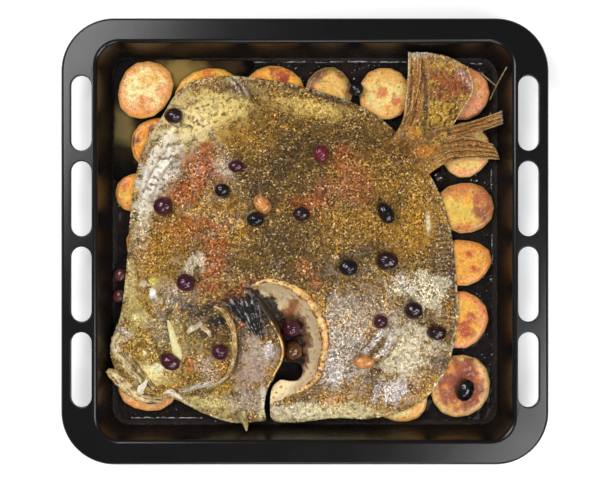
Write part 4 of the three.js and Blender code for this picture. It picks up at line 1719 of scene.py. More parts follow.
@dataclass
class Turbot:
    """The whole fish: skin, cut, head, side fin and tail."""

    form: TurbotForm = field(default_factory=TurbotForm)
    paint: SkinPaint = field(default_factory=SkinPaint)
    grid: float = 1.12
    under_grid: float = 8
    ridges: tuple[Ridge, ...] = tuple(Ridge(*row) for row in (
        (
            (
                (-96, -58), (-81, -62), (-72, -73), (-68, -88), (-68, -103), (-70, -116),
                (-78, -127), (-92, -136),
            ),
            4.2, 2.6,
        ),
        (
            (
                (-92, -57), (-77, -63), (-68, -74), (-64, -89), (-64, -104), (-66, -117),
                (-74, -128), (-88, -137),
            ),
            2.4, -3.2,
        ),
        (((-118, -146), (-100, -140), (-84, -136), (-70, -126)), 5, 1.6),
        (((-126, -141), (-104, -132), (-88, -128)), 1.6, -1.0),
        (((-60, -76), (-52, -80), (-44, -84)), 2.2, 1.4),
        (((-62, -82), (-56, -92), (-55, -106), (-60, -120)), 2.4, -0.9),
        (((-46, -70), (-38, -84), (-35, -100), (-40, -116)), 4, 1.6),
        (((-160, -90), (-152, -87), (-143, -90), (-138, -97)), 2, -1.0),
        (((-166, -64), (-156, -59), (-146, -66)), 2, -0.8),
        (((-132, -62), (-128, -80), (-126, -96)), 4, -1.2),
        (((-112, -66), (-108, -84), (-104, -104), (-100, -120)), 3, -1.0),
        (((-140, 36), (-134, 62), (-120, 84), (-100, 100)), 2.2, -0.9),
        (((-148, 30), (-143, 60), (-132, 84), (-112, 106)), 3, 1.2),
        (((-156, 14), (-154, 50), (-144, 82)), 1.6, -0.7),
        (((54, -116), (62, -100), (66, -86)), 2.4, 1.5),
        (((60, -121), (69, -103), (75, -88)), 1.4, -1.4),
        (((67, -120), (76, -102), (83, -86)), 2.4, 1.5),
        (((73, -120), (82, -102), (90, -84)), 1.4, -1.2),
        (((80, -118), (88, -102), (96, -84)), 2.4, 1.2),
        (((44, -112), (50, -96), (54, -84)), 1.6, -1.1),
        (((28, -60), (34, -84), (33, -108), (22, -132)), 1.6, -0.7),
        (((36, -64), (42, -88), (40, -112)), 1.6, 0.6),
    ))
    bones: tuple[HeadBone, ...] = tuple(HeadBone(*row) for row in (
        (
            "fish_upper_lip",
            (
                (-171, -87, 0, 6.2), (-177.5, -97, 0.4, 5.4), (-175, -106, 0.8, 4.8),
                (-167, -115, 0.5, 4.6), (-158, -125, 0.2, 4), (-150, -136, 0, 3),
            ),
            (226, 200, 140), (66, 44, 20), 9, 0.16, 0.7, 0.38,
        ),
        (
            "fish_cheek_band",
            (
                (-167, -103, 0.5, 3.6), (-157, -116, 0.5, 3.6), (-147, -129, 0.3, 3.2),
                (-142, -138, 0, 2.4),
            ),
            (190, 156, 86), (62, 40, 18), 8, 0.18,
        ),
        (
            "fish_lower_jaw",
            (
                (-184.5, -120, 7, 2), (-179, -125, 4.5, 4.6), (-166, -138, 1.5, 5.4),
                (-150, -148, 0.5, 4.4), (-134, -149.5, 0, 2.6),
            ),
            (226, 196, 132), (92, 60, 28), 7, 0.14,
        ),
        (
            "fish_cheek_bone",
            (
                (-126.5, -73, 0.2, 1.0), (-123.5, -81, 0.6, 2.6), (-120, -94, 0.8, 3.6),
                (-117, -103, 0.6, 3.6), (-115.5, -109, 0.2, 2.4),
            ),
            SkinTone.BONE, (226, 208, 140), 0, 0, 0.5,
        ),
        (
            "fish_belly_spine",
            ((-60, -161, 1, 5), (-56, -171, 5, 2.6), (-54.5, -176.8, 10, 0.8)), (206, 188, 118),
            (120, 92, 48), 5, 0.12,
        ),
        (
            "fish_gill_band",
            (
                (-84, -60, 0.2, 1.6), (-74, -66, 0.7, 3.2), (-67.5, -77, 1, 3.4),
                (-65.5, -92, 1, 3.0), (-66.5, -106, 0.8, 2.8), (-70, -118, 0.5, 2.4),
                (-77, -128, 0.1, 1.4),
            ),
            (196, 156, 74), (88, 60, 26), 6, 0.16, 0.55, 0.3,
        ),
        (
            "fish_lower_gill",
            (
                (-118, -141, 0.2, 1.2), (-98, -135, 0.5, 2.6), (-80, -130, 0.5, 2.4),
                (-71, -124, 0.1, 1.2),
            ),
            (214, 200, 178), (66, 50, 34), 8, 0.24, 0.4, 0.45,
        ),
        (
            "fish_jaw_flake",
            (
                (-147, -129, 3.4, 0.8), (-150, -134, 4.6, 2.0), (-153, -138.5, 5.6, 3.2),
                (-151.5, -142.5, 4.8, 0.9),
            ),
            (252, 248, 236), (230, 216, 180), 4, 0.25, 0.3, 0.4,
        ),
        (
            "fish_chin_flake",
            (
                (-133, -143, 1.2, 1.0), (-128, -142, 2.0, 2.2), (-121, -144.5, 2, 2.6),
                (-115, -148, 1.0, 1.2),
            ),
            (250, 240, 220), (176, 140, 84), 6, 0.3, 0.4, 0.45,
        ),
        (
            "fish_gill_flake",
            (
                (-108, -84, 0.4, 1.4), (-104, -80.5, 1.2, 2.6), (-99, -78, 1.2, 1.8),
                (-95, -74, 0.6, 1.2),
            ),
            (232, 220, 190), (160, 136, 96), 5, 0.26, 0.5,
        ),
        (
            "fish_gill_crumb",
            (
                (-97, -75, 0.4, 1.2), (-93, -80, 1.0, 1.6), (-89, -83, 0.8, 1.8),
                (-87, -88, 0.2, 1.0),
            ),
            (232, 212, 176), (170, 130, 84), 4, 0.26, 0.5,
        ),
    ))
    lobes: tuple[TailLobe, ...] = (
        TailLobe(
            "fish_tail_upper",
            ((78, 92, 15), (91, 112, 16), (95, 134, 15), (96.5, 154, 18), (96, 176, 27.5)),
            ((110, 66, 13.5), (130, 94, 17), (147, 122, 15), (158, 142, 16), (152, 164, 21)),
            7, 5, (196, 186, 160), True,
        ),
        TailLobe(
            "fish_tail_middle",
            ((90, 84, 15), (122, 105, 17.5), (146, 110, 16), (170, 117, 17.5), (184.5, 122, 23)),
            ((104, 70, 13.5), (134, 92, 15.5), (152, 99, 14), (170, 105, 15.5), (185.5, 110, 23)),
            3, 0, (140, 128, 108),
        ),
        TailLobe(
            "fish_tail_lower",
            ((96, 80, 14.5), (128, 95, 16), (148, 98, 13.5), (164, 96, 13.5), (177, 91, 16.5)),
            ((110, 58, 11.5), (130, 72, 13.5), (148, 77, 13), (166, 78, 13.5), (183, 77, 17)),
            4, 1, (150, 132, 88),
        ),
    )
    side_fin_root: tuple[Place, Place] = ((-37, -92), (-50, -84))
    side_fin_tip: tuple[Place, Place] = ((-44, -47), (-75, -52))

    def __post_init__(self) -> None:
        """Makes the two finishes."""
        self.skin_finish = SkinFinish().build()
        self.flesh_finish = FleshFinish().build()

    def surface_height(self, points: np.ndarray) -> tuple[np.ndarray, dict[str, np.ndarray]]:
        """Works out the whole upper surface.

        Args:
            points: Rows that start with x and y.

        Returns:
            The heights, and what they were worked out from.
        """
        form = self.form
        inward, row = nearest(points, form.free_line)
        flat = level(points)
        skin = form.plain_height(points, inward)
        under = form.underside(inward)
        skin = form.eye_height(points, skin)
        for ridge in self.ridges:
            skin = skin + form.ridge_height(points, ridge)
        turns = row * form.outline_step * 2 * np.pi / form.fin_ray_pitch
        rays = np.cos(turns + 1.5 * form.uneven.at(flat, 22))
        fringe = ease(inward, 1, 4) * ease(-inward, -26, -12)
        wrinkled = form.uneven.at(flat + 60, (9, 3.2, 9)) * mound(points, (36, -92), 26)
        skin = skin + 0.32 * rays * fringe + 0.5 * wrinkled
        skin = skin + 0.7 * form.uneven.layered(flat, 16, 2) * ease(inward, 3, 14)
        rough = form.uneven.layered(flat + 300, 9, 2)
        crusty = (SkinTone.RUST, SkinTone.RUSSET, SkinTone.CHAR)
        crust = sum(zone.share(points, rough) for zone in self.paint.zones if zone.tone in crusty)
        grainy = form.uneven.layered(flat + 500, 4.2, 2)
        skin = skin + (0.22 + 0.5 * np.clip(crust, 0, 1)) * grainy * ease(inward, 0, 5)
        along = np.subtract(form.belly_edge[-1], form.back_edge[0])
        along = along / np.linalg.norm(along)
        offset = points[:, :2] - np.array(form.tail_root)
        from_root = np.abs(offset[:, 0] * along[1] - offset[:, 1] * along[0])
        at_root = (abs(offset @ along) < 30) * ease(-from_root, -16, -1)
        skin = skin + (np.minimum(skin, form.tail_root_top) - skin) * at_root
        skin = skin - 0.9 * np.exp(-inward / 1.1) * (1 - at_root)
        down, across = form.across_cut(points)
        height = form.cut_height(skin, under, down, across)
        flesh_relief = 0.9 * form.uneven.layered(flat + 800, 6, 3)
        inside = (across > form.cut_rim) & (across < 1)
        height = height + np.where(inside, flesh_relief, 0)
        height = np.maximum(height, under + form.thinnest)
        return height, {"inward": inward, "down": down, "across": across}

    def skin_mesh(self) -> None:
        """Builds the body's skin, the open cut and the underside as one closed mesh."""
        form = self.form
        shore = form.shore
        jag = form.uneven.at(level(shore), 3.0)
        centre = np.array(form.middle)
        outwards = (shore - centre) / np.linalg.norm(shore - centre, axis=1, keepdims=True)
        shore = shore + 0.35 * jag[:, None] * outwards

        def grid_inside(step: float, margin: float, seed: int) -> np.ndarray:
            """Fills the outline with a slightly shaken grid.

            Args:
                step: The distance between its points.
                margin: How far they stay from the outline.
                seed: Which shake it is.

            Returns:
                Rows of x and y.
            """
            low, high = shore.min(0), shore.max(0)
            xs = np.arange(low[0], high[0], step)
            ys = np.arange(low[1], high[1], step * math.sqrt(3) / 2)
            x, y = np.meshgrid(xs, ys)
            x = x + (np.arange(len(ys)) % 2)[:, None] * step / 2
            spots = np.column_stack([x.ravel(), y.ravel()])
            spots += np.random.default_rng(seed).uniform(-0.16, 0.16, spots.shape) * step
            spots = spots[inside_loop(spots, shore)]
            return spots[nearest(spots, shore)[0] > margin]

        count = len(shore)

        def triangulate(spots: np.ndarray) -> np.ndarray:
            """Joins the outline and some spots into triangles that face up.

            Args:
                spots: Rows of x and y.

            Returns:
                Three vertex numbers a row.
            """
            flat = np.vstack([shore, spots])
            found = geometry.delaunay_2d_cdt(
                [Vector(p) for p in flat], [], [list(range(count))], 1, 1e-6
            )
            number = np.array([olds[0] for olds in found[3]])
            triangles = number[np.array(found[2])]
            a, b, c = (flat[triangles[:, k]] for k in range(3))
            ab, ac = b - a, c - a
            faces_down = ab[:, 0] * ac[:, 1] - ab[:, 1] * ac[:, 0] < 0
            triangles[faces_down] = triangles[faces_down][:, ::-1]
            return triangles

        top_spots = grid_inside(self.grid, self.grid * 0.55, 5)
        under_spots = grid_inside(self.under_grid, self.under_grid * 0.4, 6)
        top_faces = triangulate(top_spots)
        under_faces = triangulate(under_spots)
        top = np.vstack([shore, top_spots])
        bottom = np.vstack([shore, under_spots])
        height, found = self.surface_height(top)
        under = form.underside(form.inward(bottom))
        top = np.column_stack([top, height])
        under[:count] = np.minimum(under[:count], height[:count] - 0.8)
        bottom = np.column_stack([bottom, under])
        shift = len(top)
        edge = np.arange(count)
        after = (edge + 1) % count
        turning = np.sum((shore[after] - shore)[:, 0] * (shore[after] + shore)[:, 1])
        if turning > 0:
            edge, after = after, edge
        band = np.vstack([
            np.column_stack([edge, edge + shift, after + shift]),
            np.column_stack([edge, after + shift, after]),
        ])
        faces = np.vstack([top_faces, under_faces[:, ::-1] + shift, band])
        points = np.vstack([top, bottom])
        inward = np.append(found["inward"], form.inward(bottom))
        tone = self.paint.skin(points, inward)
        cut = (found["across"] > form.cut_rim) & (found["across"] < 1)
        fleshy = np.append(cut, np.zeros(len(bottom), bool))
        tone[fleshy] = self.paint.flesh(top[cut], found["down"][cut], found["across"][cut])
        tone[shift:] = linear((196, 178, 140))
        speckle = np.where(fleshy, 0.0, self.paint.speckle(points))
        speckle[shift:] = 0.2
        wet = np.clip(0.6 + 0.5 * self.paint.uneven.layered(points + 60, 20, 2), 0, 1)
        skin = make_piece("fish_skin", points, faces, self.skin_finish, {
            "tone": tone, "speckle": speckle, "wet": wet,
        })
        fit(skin, "turbot_skin", "turbot")

    def bone_piece(self, bone: HeadBone) -> None:
        """Builds one jaw, lip, bone or flake.

        Args:
            bone: Which one.
        """
        rows = np.array(bone.rows, float)
        inward = self.form.inward(rows)
        base = self.form.plain_height(rows, inward)
        stations = np.column_stack([rows[:, :2], base + rows[:, 2], rows[:, 3]])
        sides = 44
        fine = spaced(smooth_curve(stations, False), 0.6, False)
        points, faces, share, turns = Sweep(fine[:, :3], fine[:, 3], sides, bone.flat).mesh()
        rough = self.form.uneven.layered(points + 20, 7, 3)
        small = self.form.uneven.layered(points + 120, 2.4, 2)
        length = 0.6 * len(fine)
        around = np.column_stack([np.cos(turns), np.sin(turns), share * length / 26])
        around = around * bone.ribs / 3
        strands = self.form.uneven.at(around + 70, (0.55, 0.55, 1)) if bone.ribs else 0 * share
        middle = np.repeat(fine[:, :3], sides, axis=0)
        swell = 1 + bone.lumpy * rough + 0.07 * small + 1.2 * bone.rib_depth * strands
        points = middle + (points - middle) * swell[:, None]
        darker = np.clip(0.35 - 1.1 * strands + 0.5 * rough + 0.3 * small, 0, 1)
        tone = blend(bone.tone, bone.dark, darker)
        tone = blend(tone, (252, 242, 210), 0.5 * ease(-rough - small, 0.4, 0.9))
        piece = make_piece(bone.name, points, faces, self.flesh_finish, {"tone": tone})
        fit(piece, "turbot_skin", "turbot")

    def cut_lips(self) -> None:
        """Builds the thick curled lip on the body side and the thin edge on the head side."""
        form = self.form
        sides = 28
        for name, line, first, shift, thin, thick, flat, charred in (
            ("fish_cut_lip", form.cut_right, 0, (2, 1), 1.0, 3.0, 0.8, False),
            ("fish_cut_edge", form.cut_left, 1 / 9, (-0.8, 0), 0.6, 0.6, 0.9, True),
        ):
            part = line[int(len(line) * first) : int(len(line) * 0.9)]
            route = spaced(part, 0.7, False) + shift
            inward = form.inward(route)
            height = form.plain_height(route, inward) + 0.3
            share = np.linspace(0, 1, len(route))
            radii = thin + thick * np.sin(np.pi * share) ** 0.7
            route = np.column_stack([route, height])
            radii = radii * (1 + 0.22 * form.uneven.at(route, 14))
            points, faces, along, turns = Sweep(route, radii, sides, flat, 3, 0.08).mesh()
            rough = form.uneven.layered(points + 70, 8, 3)
            fine = form.uneven.layered(points + 170, 2.6, 2)
            middle = np.repeat(route, sides, axis=0)
            points = middle + (points - middle) * (1 + 0.22 * rough + 0.06 * fine)[:, None]
            outer = ease(np.abs(np.cos(turns + 0.3)), 0.3, 0.8)
            tone = blend((252, 208, 130), (214, 144, 66), 0.75 * ease(rough, -0.2, 0.4))
            tone = blend(tone, (126, 72, 30), 0.85 * outer * ease(rough + fine, -0.4, 0.3))
            tone = blend(tone, (64, 34, 16), 0.85 * ease(fine, 0.3, 0.5))
            if charred:
                tone = blend(tone, (34, 28, 28), 0.9 * ease(-along + 0.2 * rough, -0.5, -0.3))
            piece = make_piece(name, points, faces, self.flesh_finish, {"tone": tone})
            fit(piece, "turbot_skin", "turbot")

    def side_fin(self) -> None:
        """Builds the side fin, folded back over the gill opening, with its rays."""
        (rx0, ry0), (rx1, ry1) = self.side_fin_root
        (tx0, ty0), (tx1, ty1) = self.side_fin_tip

        def place(u: np.ndarray, v: np.ndarray) -> np.ndarray:
            """Puts the fin over the skin and frays its tip.

            Args:
                u: Shares across it.
                v: Shares along it.

            Returns:
                Rows of x, y and z.
            """
            frayed = np.abs(self.form.uneven.at(np.column_stack([u * 24, v, 0 * u]), (1.6, 2, 1)))
            v = v * (1 - 0.3 * frayed * ease(v, 0.5, 1))
            x = (rx0 + (rx1 - rx0) * u) * (1 - v) + (tx0 + (tx1 - tx0) * u) * v
            y = (ry0 + (ry1 - ry0) * u) * (1 - v) + (ty0 + (ty1 - ty0) * u) * v
            flat = np.column_stack([x, y])
            base = np.column_stack([flat, self.form.plain_height(flat, self.form.inward(flat))])
            bent = u + 0.06 * self.form.uneven.at(base, 12)
            ray = 0.6 * np.cos(bent * 10 * np.pi) + 0.6 * self.form.uneven.layered(base, 8, 2)
            return np.column_stack([flat, base[:, 2] + 1.4 + ray])

        def tones(points: np.ndarray, u: np.ndarray, v: np.ndarray) -> np.ndarray:
            """Paints charred rays with silver painted glints along them.

            Args:
                points: Rows of x, y and z.
                u: Shares across it.
                v: Shares along it.

            Returns:
                A linear colour for each point.
            """
            rough = self.form.uneven.layered(points, 5, 3)
            bent = u + 0.06 * self.form.uneven.at(points, 12)
            # Silver-blue: painted glints on the charred rays.
            silver_glint = ease(np.cos(bent * 10 * np.pi) + 1.8 * rough, 0.8, 1.6)
            tone = blend((30, 25, 24), (200, 200, 208), 0.8 * silver_glint)
            tone = blend(tone, (120, 84, 40), 0.5 * ease(rough, 0.2, 0.8))
            return blend(tone, (190, 150, 100), 0.5 * ease(-v + 0.2 * rough, -0.12, 0.05))

        piece = self.sheet("fish_side_fin", 60, 50, place, tones, lambda u, v: 1.2 + 0 * u)
        fit(piece, "turbot_skin", "turbot")

    def sheet(self, name: str, columns: int, rows: int, place: Callable, tones: Callable,
              thickness: Callable) -> bpy.types.Object:
        """Builds a thin closed sheet.

        Args:
            name: The piece's name.
            columns: Steps across.
            rows: Steps along.
            place: Gives the middle's points for shares across and along.
            tones: Gives the colours for points and shares.
            thickness: Gives the thickness for the shares.

        Returns:
            The piece.
        """
        grid = np.meshgrid(np.linspace(0, 1, columns + 1), np.linspace(0, 1, rows + 1))
        u, v = (share.ravel() for share in grid)
        middle = place(u, v)
        half = np.column_stack([0 * u, 0 * u, thickness(u, v) / 2])
        points = np.vstack([middle + half, middle - half])
        wide, layer = columns + 1, (columns + 1) * (rows + 1)
        a = (np.arange(rows)[:, None] * wide + np.arange(columns)).ravel()
        top = np.column_stack([a, a + 1, a + wide + 1, a + wide])
        rim = np.concatenate([
            np.arange(columns), np.arange(rows) * wide + columns,
            rows * wide + np.arange(columns, 0, -1), np.arange(rows, 0, -1) * wide,
        ])
        ahead = np.roll(rim, -1)
        band = np.column_stack([rim, rim + layer, ahead + layer, ahead])
        faces = np.vstack([top, top[:, ::-1] + layer, band])
        ab, ac = points[1] - points[0], points[wide] - points[0]
        if np.cross(ab, ac)[2] < 0:
            faces = faces[:, ::-1]
        tone = tones(points, np.tile(u, 2), np.tile(v, 2))
        flags = np.ones(len(points))
        return make_piece(name, points, faces, self.skin_finish, {
            "tone": tone, "speckle": 0.5 * flags, "wet": 0.6 * flags,
        })

    def tail_lobe(self, lobe: TailLobe) -> None:
        """Builds one lobe of the tail.

        Args:
            lobe: Which one.
        """
        form = self.form
        left = smooth_curve(np.array(lobe.left), False, 40)
        right = smooth_curve(np.array(lobe.right), False, 40)
        outward = (left[-1] + right[-1] - left[0] - right[0]) * (1, 1, 0)
        outward /= np.linalg.norm(outward)
        along = np.linspace(0, 1, len(left))

        def calm(u: np.ndarray) -> np.ndarray:
            """Says where a smooth lobe has no rays."""
            return ease(u, 0.28, 0.42) if lobe.smooth else 0 * u

        def edge(line: np.ndarray, v: np.ndarray) -> np.ndarray:
            """Reads an edge at shares of its length."""
            return np.column_stack([np.interp(v, along, line[:, k]) for k in range(3)])

        def place(u: np.ndarray, v: np.ndarray) -> np.ndarray:
            """Folds the lobe along its rays and tears its tip a little.

            Args:
                u: Shares across it.
                v: Shares along it.

            Returns:
                Rows of x, y and z.
            """
            torn = form.uneven.at(np.column_stack([u * 30, 0 * u, 0 * u]), 1.3) * ease(v, 0.9, 1)
            v = np.clip(v - 0.02 * np.abs(torn), 0, 1)
            middle = edge(left, v) * (1 - u)[:, None] + edge(right, v) * u[:, None]
            middle += (lobe.bow * v**2 * np.sin(np.pi * u))[:, None] * outward
            fold = np.minimum(1, 2 * v) * (1 - 0.7 * calm(u))
            middle[:, 2] += 0.8 * np.cos(2 * np.pi * lobe.rays * u) * fold
            middle[:, 2] += 0.28 * np.cos(2 * np.pi * lobe.rays * 3 * u + 0.6) * fold
            wave = form.uneven.layered(middle * (1, 1, 0) + 60, 9, 3)
            middle[:, 2] += 0.6 * wave * np.minimum(1, 2 * v)
            return middle

        def tones(points: np.ndarray, u: np.ndarray, v: np.ndarray) -> np.ndarray:
            """Paints rays, the reddish patch, painted shade in a groove and the pale tip.

            Args:
                points: Rows of x, y and z.
                u: Shares across it.
                v: Shares along it.

            Returns:
                A linear colour for each point.
            """
            flat = points * (1, 1, 0)
            tone = self.paint.skin(points, np.full(len(points), 20.0))
            rough = form.uneven.layered(flat + 30, 7, 3)
            drawn = form.uneven.at(np.column_stack([u * 90, v * 9, 0 * u]), (2.0, 4, 1))
            hair = form.uneven.at(np.column_stack([u * 60 * lobe.rays, v * 14, 0 * u]), (6, 5, 1))
            base = blend((168, 110, 44), (236, 184, 98), ease(drawn, -0.1, 0.8))
            base = blend(base, (238, 206, 140), 0.6 * ease(hair, 0.25, 0.6))
            smooth = calm(u + 0.08 * rough)
            rayed = ease(-np.cos(2 * np.pi * lobe.rays * u + 1.5 * rough) - 0.6 * hair, 0.3, 1.0)
            base = blend(base, (62, 34, 14), 0.8 * rayed * (1 - 0.8 * smooth))
            grainy = form.uneven.layered(flat + 230, 2.6, 2)
            gold = blend((210, 164, 60), (84, 60, 22), ease(grainy, -0.1, 0.45))
            base = blend(base, gold, 0.85 * smooth)
            base = blend(base, (70, 46, 20), 0.6 * ease(grainy, 0.1, 0.6) * ease(-v, -0.8, -0.4))
            tone = blend(tone, base, ease(v + 0.12 * rough, 0.1, 0.4))
            if lobe.smooth:
                reddish = SkinZone((160, 78, 30), (138, 146), (20, 14), -20, 1, 0.6)
                patch = reddish.share(points, rough + grainy)
                tone = blend(tone, reddish.tone, 0.85 * patch)
                streaks = ease(grainy + 0.5 * drawn, 0.15, 0.5)
                tone = blend(tone, (70, 32, 18), 0.7 * patch * streaks)
                rim = SkinZone((206, 186, 196), (150, 153), (15, 4), -42, 1, 0.4)
                share = rim.share(points, rough) * ease(grainy + drawn, -0.1, 0.5)
                tone = blend(tone, rim.tone, 0.75 * share)
                # Painted shade in the groove between the rayed strip and the smooth part.
                groove_shade = Stroke((62, 52, 40), ((112, 98), (114, 130), (113, 160)), 1.8, 0.8)
                tone = blend(tone, groove_shade.tone, groove_shade.share(points, rough))
            tip = ease(v + 0.03 * rough, 0.93, 0.98) * (1 - 0.75 * smooth)
            tone = blend(tone, lobe.tip, 0.85 * tip)
            pale_side = ease(-u, -0.03, -0.012) + ease(u, 0.975, 0.99)
            return blend(tone, (236, 216, 160), 0.8 * pale_side * ease(v, 0.3, 0.5))

        def thickness(u: np.ndarray, v: np.ndarray) -> np.ndarray:
            """Thins the sheet towards its tip."""
            return 5 + (1.6 - 5) * np.minimum(1, 2 * v)

        piece = self.sheet(lobe.name, 16 * lobe.rays, 84, place, tones, thickness)
        fit(piece, "turbot_skin", "turbot")

    def build(self) -> None:
        """Builds the fish."""
        self.skin_mesh()
        log.info("skin built")
        for bone in self.bones:
            self.bone_piece(bone)
        self.cut_lips()
        self.side_fin()
        for lobe in self.lobes:
            self.tail_lobe(lobe)
        log.info("head, cut, side fin and tail built")


# ------------------------------------------------------------------ potatoes and olives


@dataclass(frozen=True)
class SliceLook:
    """How one slice baked: its face and rim, and spots as x, y, radius and tone."""

    face: Rgb
    rim: Rgb
    rim_width: float = 0.22
    spots: tuple[tuple[float, float, float, Rgb], ...] = ()
    blotch: float = 0.6


@dataclass
class PotatoSlices:
    """The potato slices under and round the fish."""

    voxel: float = 1.1
    rounds: int = 12
    uneven: Unevenness = field(default_factory=lambda: Unevenness(31))
    brown: Rgb = (202, 88, 22)
    golden: Rgb = (252, 176, 50)
    looks: tuple[SliceLook, ...] = tuple(SliceLook(*row) for row in (
        (
            (250, 226, 146), (232, 140, 44), 0.3,
            ((-152, 128, 9, (232, 136, 40)), (-134, 140, 8, (238, 160, 92))),
        ),
        ((240, 190, 70), (236, 170, 52), 0.25, ((-92, 158, 7, (222, 120, 32)),)),
        (
            (246, 184, 60), (230, 140, 40), 0.25,
            ((-22, 156, 8, (170, 48, 12)), (-19, 146, 7, (150, 44, 16))),
        ),
        (
            (236, 188, 96), (96, 50, 26), 0.3,
            ((12, 158, 8, (84, 44, 30)), (4, 146, 6, (150, 84, 50))),
        ),
        (
            (246, 216, 132), (228, 150, 64), 0.22,
            (
                (72, 140, 6, (226, 120, 60)), (86, 134, 5, (222, 110, 60)),
                (78, 158, 10, (236, 176, 84)),
            ),
        ),
        ((240, 176, 118), (232, 140, 92), 0.25, ((160, 132, 7, (236, 150, 110)),)),
        ((244, 204, 116), (240, 160, 110), 0.22, (), 0.3),
        (
            (238, 196, 84), (196, 104, 56), 0.25,
            (
                (168, 28, 9, (150, 72, 52)), (166, 40, 8, (190, 100, 60)),
                (150, 48, 9, (214, 130, 66)),
            ),
        ),
        (
            (240, 168, 64), (226, 130, 46), 0.22,
            ((156, -12, 4, (186, 54, 18)), (160, -26, 4, (190, 60, 22))),
        ),
        (
            (240, 176, 66), (232, 130, 80), 0.24,
            ((158, -72, 6, (190, 70, 34)), (150, -84, 7, (186, 66, 28))),
        ),
        (
            (164, 84, 44), (238, 190, 116), 0.2,
            ((150, -122, 11, (144, 62, 30)), (140, -134, 10, (160, 78, 44))),
        ),
        ((252, 228, 152), (238, 164, 72), 0.2, (), 0.3),
        ((255, 226, 164), (246, 150, 72), 0.22, (), 0.25),
        ((232, 128, 34), (220, 110, 24), 0.3, ()),
        (
            (240, 182, 66), (226, 140, 44), 0.22,
            ((-170, 54, 5, (226, 116, 30)), (-168, 36, 1.2, (40, 20, 10))),
        ),
        (
            (236, 154, 34), (226, 136, 36), 0.25,
            (
                (-144, 103, 5.5, (112, 22, 14)), (-162, 95, 5, (120, 44, 22)),
                (-142, 96, 4, (130, 40, 20)),
            ),
        ),
    ))
    finish: bpy.types.Material = field(default_factory=lambda: PotatoFinish().build())

    def build(self) -> None:
        """Builds every slice."""
        for number, look in enumerate(self.looks, start=1):
            node = f"potato_slice_{number:02d}"
            piece = remeshed(node, f"slice_{number:02d}", self.voxel, self.rounds, self.finish)
            points = vertices_of(piece.data)
            normals = normals_of(piece.data)
            rough = self.uneven.layered(points + 40 * number, 9, 3)
            fine = self.uneven.layered(points + 40 * number, 2.6, 2)
            upward = ease(normals[:, 2], 0.5, 0.9)
            swell = 0.25 + (0.3 * rough + 0.14 * fine) * upward
            move_vertices(piece, points + normals * swell[:, None])
            low, high = points.min(0), points.max(0)
            centre, half = (low + high) / 2, (high - low) / 2
            away = np.hypot(*((points[:, :2] - centre[:2]) / half[:2]).T)
            broad = self.uneven.layered(points + 40 * number, 17, 2)
            tone = blend(look.face, self.golden, 0.65 * ease(broad + 0.4 * rough, 0.0, 0.6))
            blotches = ease(rough + 0.3 * fine + 0.3 * away, 0.4, 0.95)
            tone = blend(tone, self.brown, look.blotch * blotches)
            at_rim = ease(away + 0.12 * rough, 1 - look.rim_width - 0.12, 1 - 0.4 * look.rim_width)
            tone = blend(tone, look.rim, 0.8 * at_rim)
            for x, y, radius, spot in look.spots:
                burnt = SkinZone(spot, (x, y), (radius, radius), 0, 1, 0.7)
                share = burnt.share(points, rough + 0.5 * fine)
                tone = blend(tone, burnt.tone, 0.9 * share)
            tone = blend(tone, (110, 46, 14), 0.7 * ease(fine, 0.5, 0.75))
            # Painted glints on the slices' upper faces.
            tone = blend(tone, (255, 240, 196), 0.5 * ease(-fine, 0.5, 0.8) * upward)
            tone = blend(tone, (232, 198, 116), 0.7 * (1 - upward))
            tone *= np.clip(1.12 + 0.14 * rough + 0.2 * fine, 0.5, 1.5)[:, None]
            paint(piece.data, {"tone": tone})
            fit(piece, "baked_potato", node)
        log.info("%d slices built", len(self.looks))


@dataclass
class Olives:
    """The olives on the fish, in the cut and on the tray's floor."""

    wrinkle: float = 0.0392
    uneven: Unevenness = field(default_factory=lambda: Unevenness(47))
    tones: tuple[OliveTone, ...] = (
        OliveTone.DUSKY, OliveTone.PURPLE, OliveTone.BLACK, OliveTone.PURPLE, OliveTone.TAN,
        OliveTone.BLACK, OliveTone.DUSKY, OliveTone.RED, OliveTone.BLACK, OliveTone.BLACK,
        OliveTone.DUSKY, OliveTone.DUSKY, OliveTone.PURPLE, OliveTone.DUSKY, OliveTone.TAN,
        OliveTone.BLACK, OliveTone.PURPLE, OliveTone.PURPLE, OliveTone.PURPLE, OliveTone.PURPLE,
        OliveTone.BROWN, OliveTone.PINK, OliveTone.PINK, OliveTone.BLACK, OliveTone.BLACK,
    )

    def build(self) -> None:
        """Builds every olive, fitted to the main axes of its solid."""
        finishes = {tone: OliveFinish(tone).build() for tone in OliveTone}
        ball = bmesh.new()
        bmesh.ops.create_icosphere(ball, subdivisions=5, radius=1)
        unit = np.array([v.co[:] for v in ball.verts])
        faces = [[v.index for v in face.verts] for face in ball.faces]
        ball.free()
        for number, tone in enumerate(self.tones, start=1):
            node = f"olive_{number:02d}"
            solid = vertices_of(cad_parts[node].data)
            centre = (solid.min(0) + solid.max(0)) / 2
            flat = solid[:, :2] - centre[:2]
            x, y = flat.T
            turn = 0.5 * math.atan2(2 * (x * y).sum(), (x**2 - y**2).sum())
            axes = np.array([[math.cos(turn), math.sin(turn)], [-math.sin(turn), math.cos(turn)]])
            half = np.append(np.abs(flat @ axes.T).max(0), np.ptp(solid[:, 2]) / 2)
            rough = self.uneven.layered(unit * 6 + 31 * number, 4.5, 3)
            creases = np.abs(self.uneven.at(unit * 6 + 57 * number, (9, 2.6, 3.4)))
            puckered = np.exp(-((1 - np.abs(unit[:, 0])) / 0.05) ** 2) * (unit[:, 0] > 0)
            size = 1 + 0.04 * rough - self.wrinkle * ease(-creases, -0.2, 0) - 0.12 * puckered
            local = unit * half * size[:, None]
            local = np.column_stack([local[:, :2] @ axes, local[:, 2]])
            piece = make_piece(f"olive_flesh_{number:02d}", local + centre, faces, finishes[tone])
            fit(piece, "olive", node)
        log.info("%d olives built", len(self.tones))


# ------------------------------------------------------------------ juices, crumbs and herbs


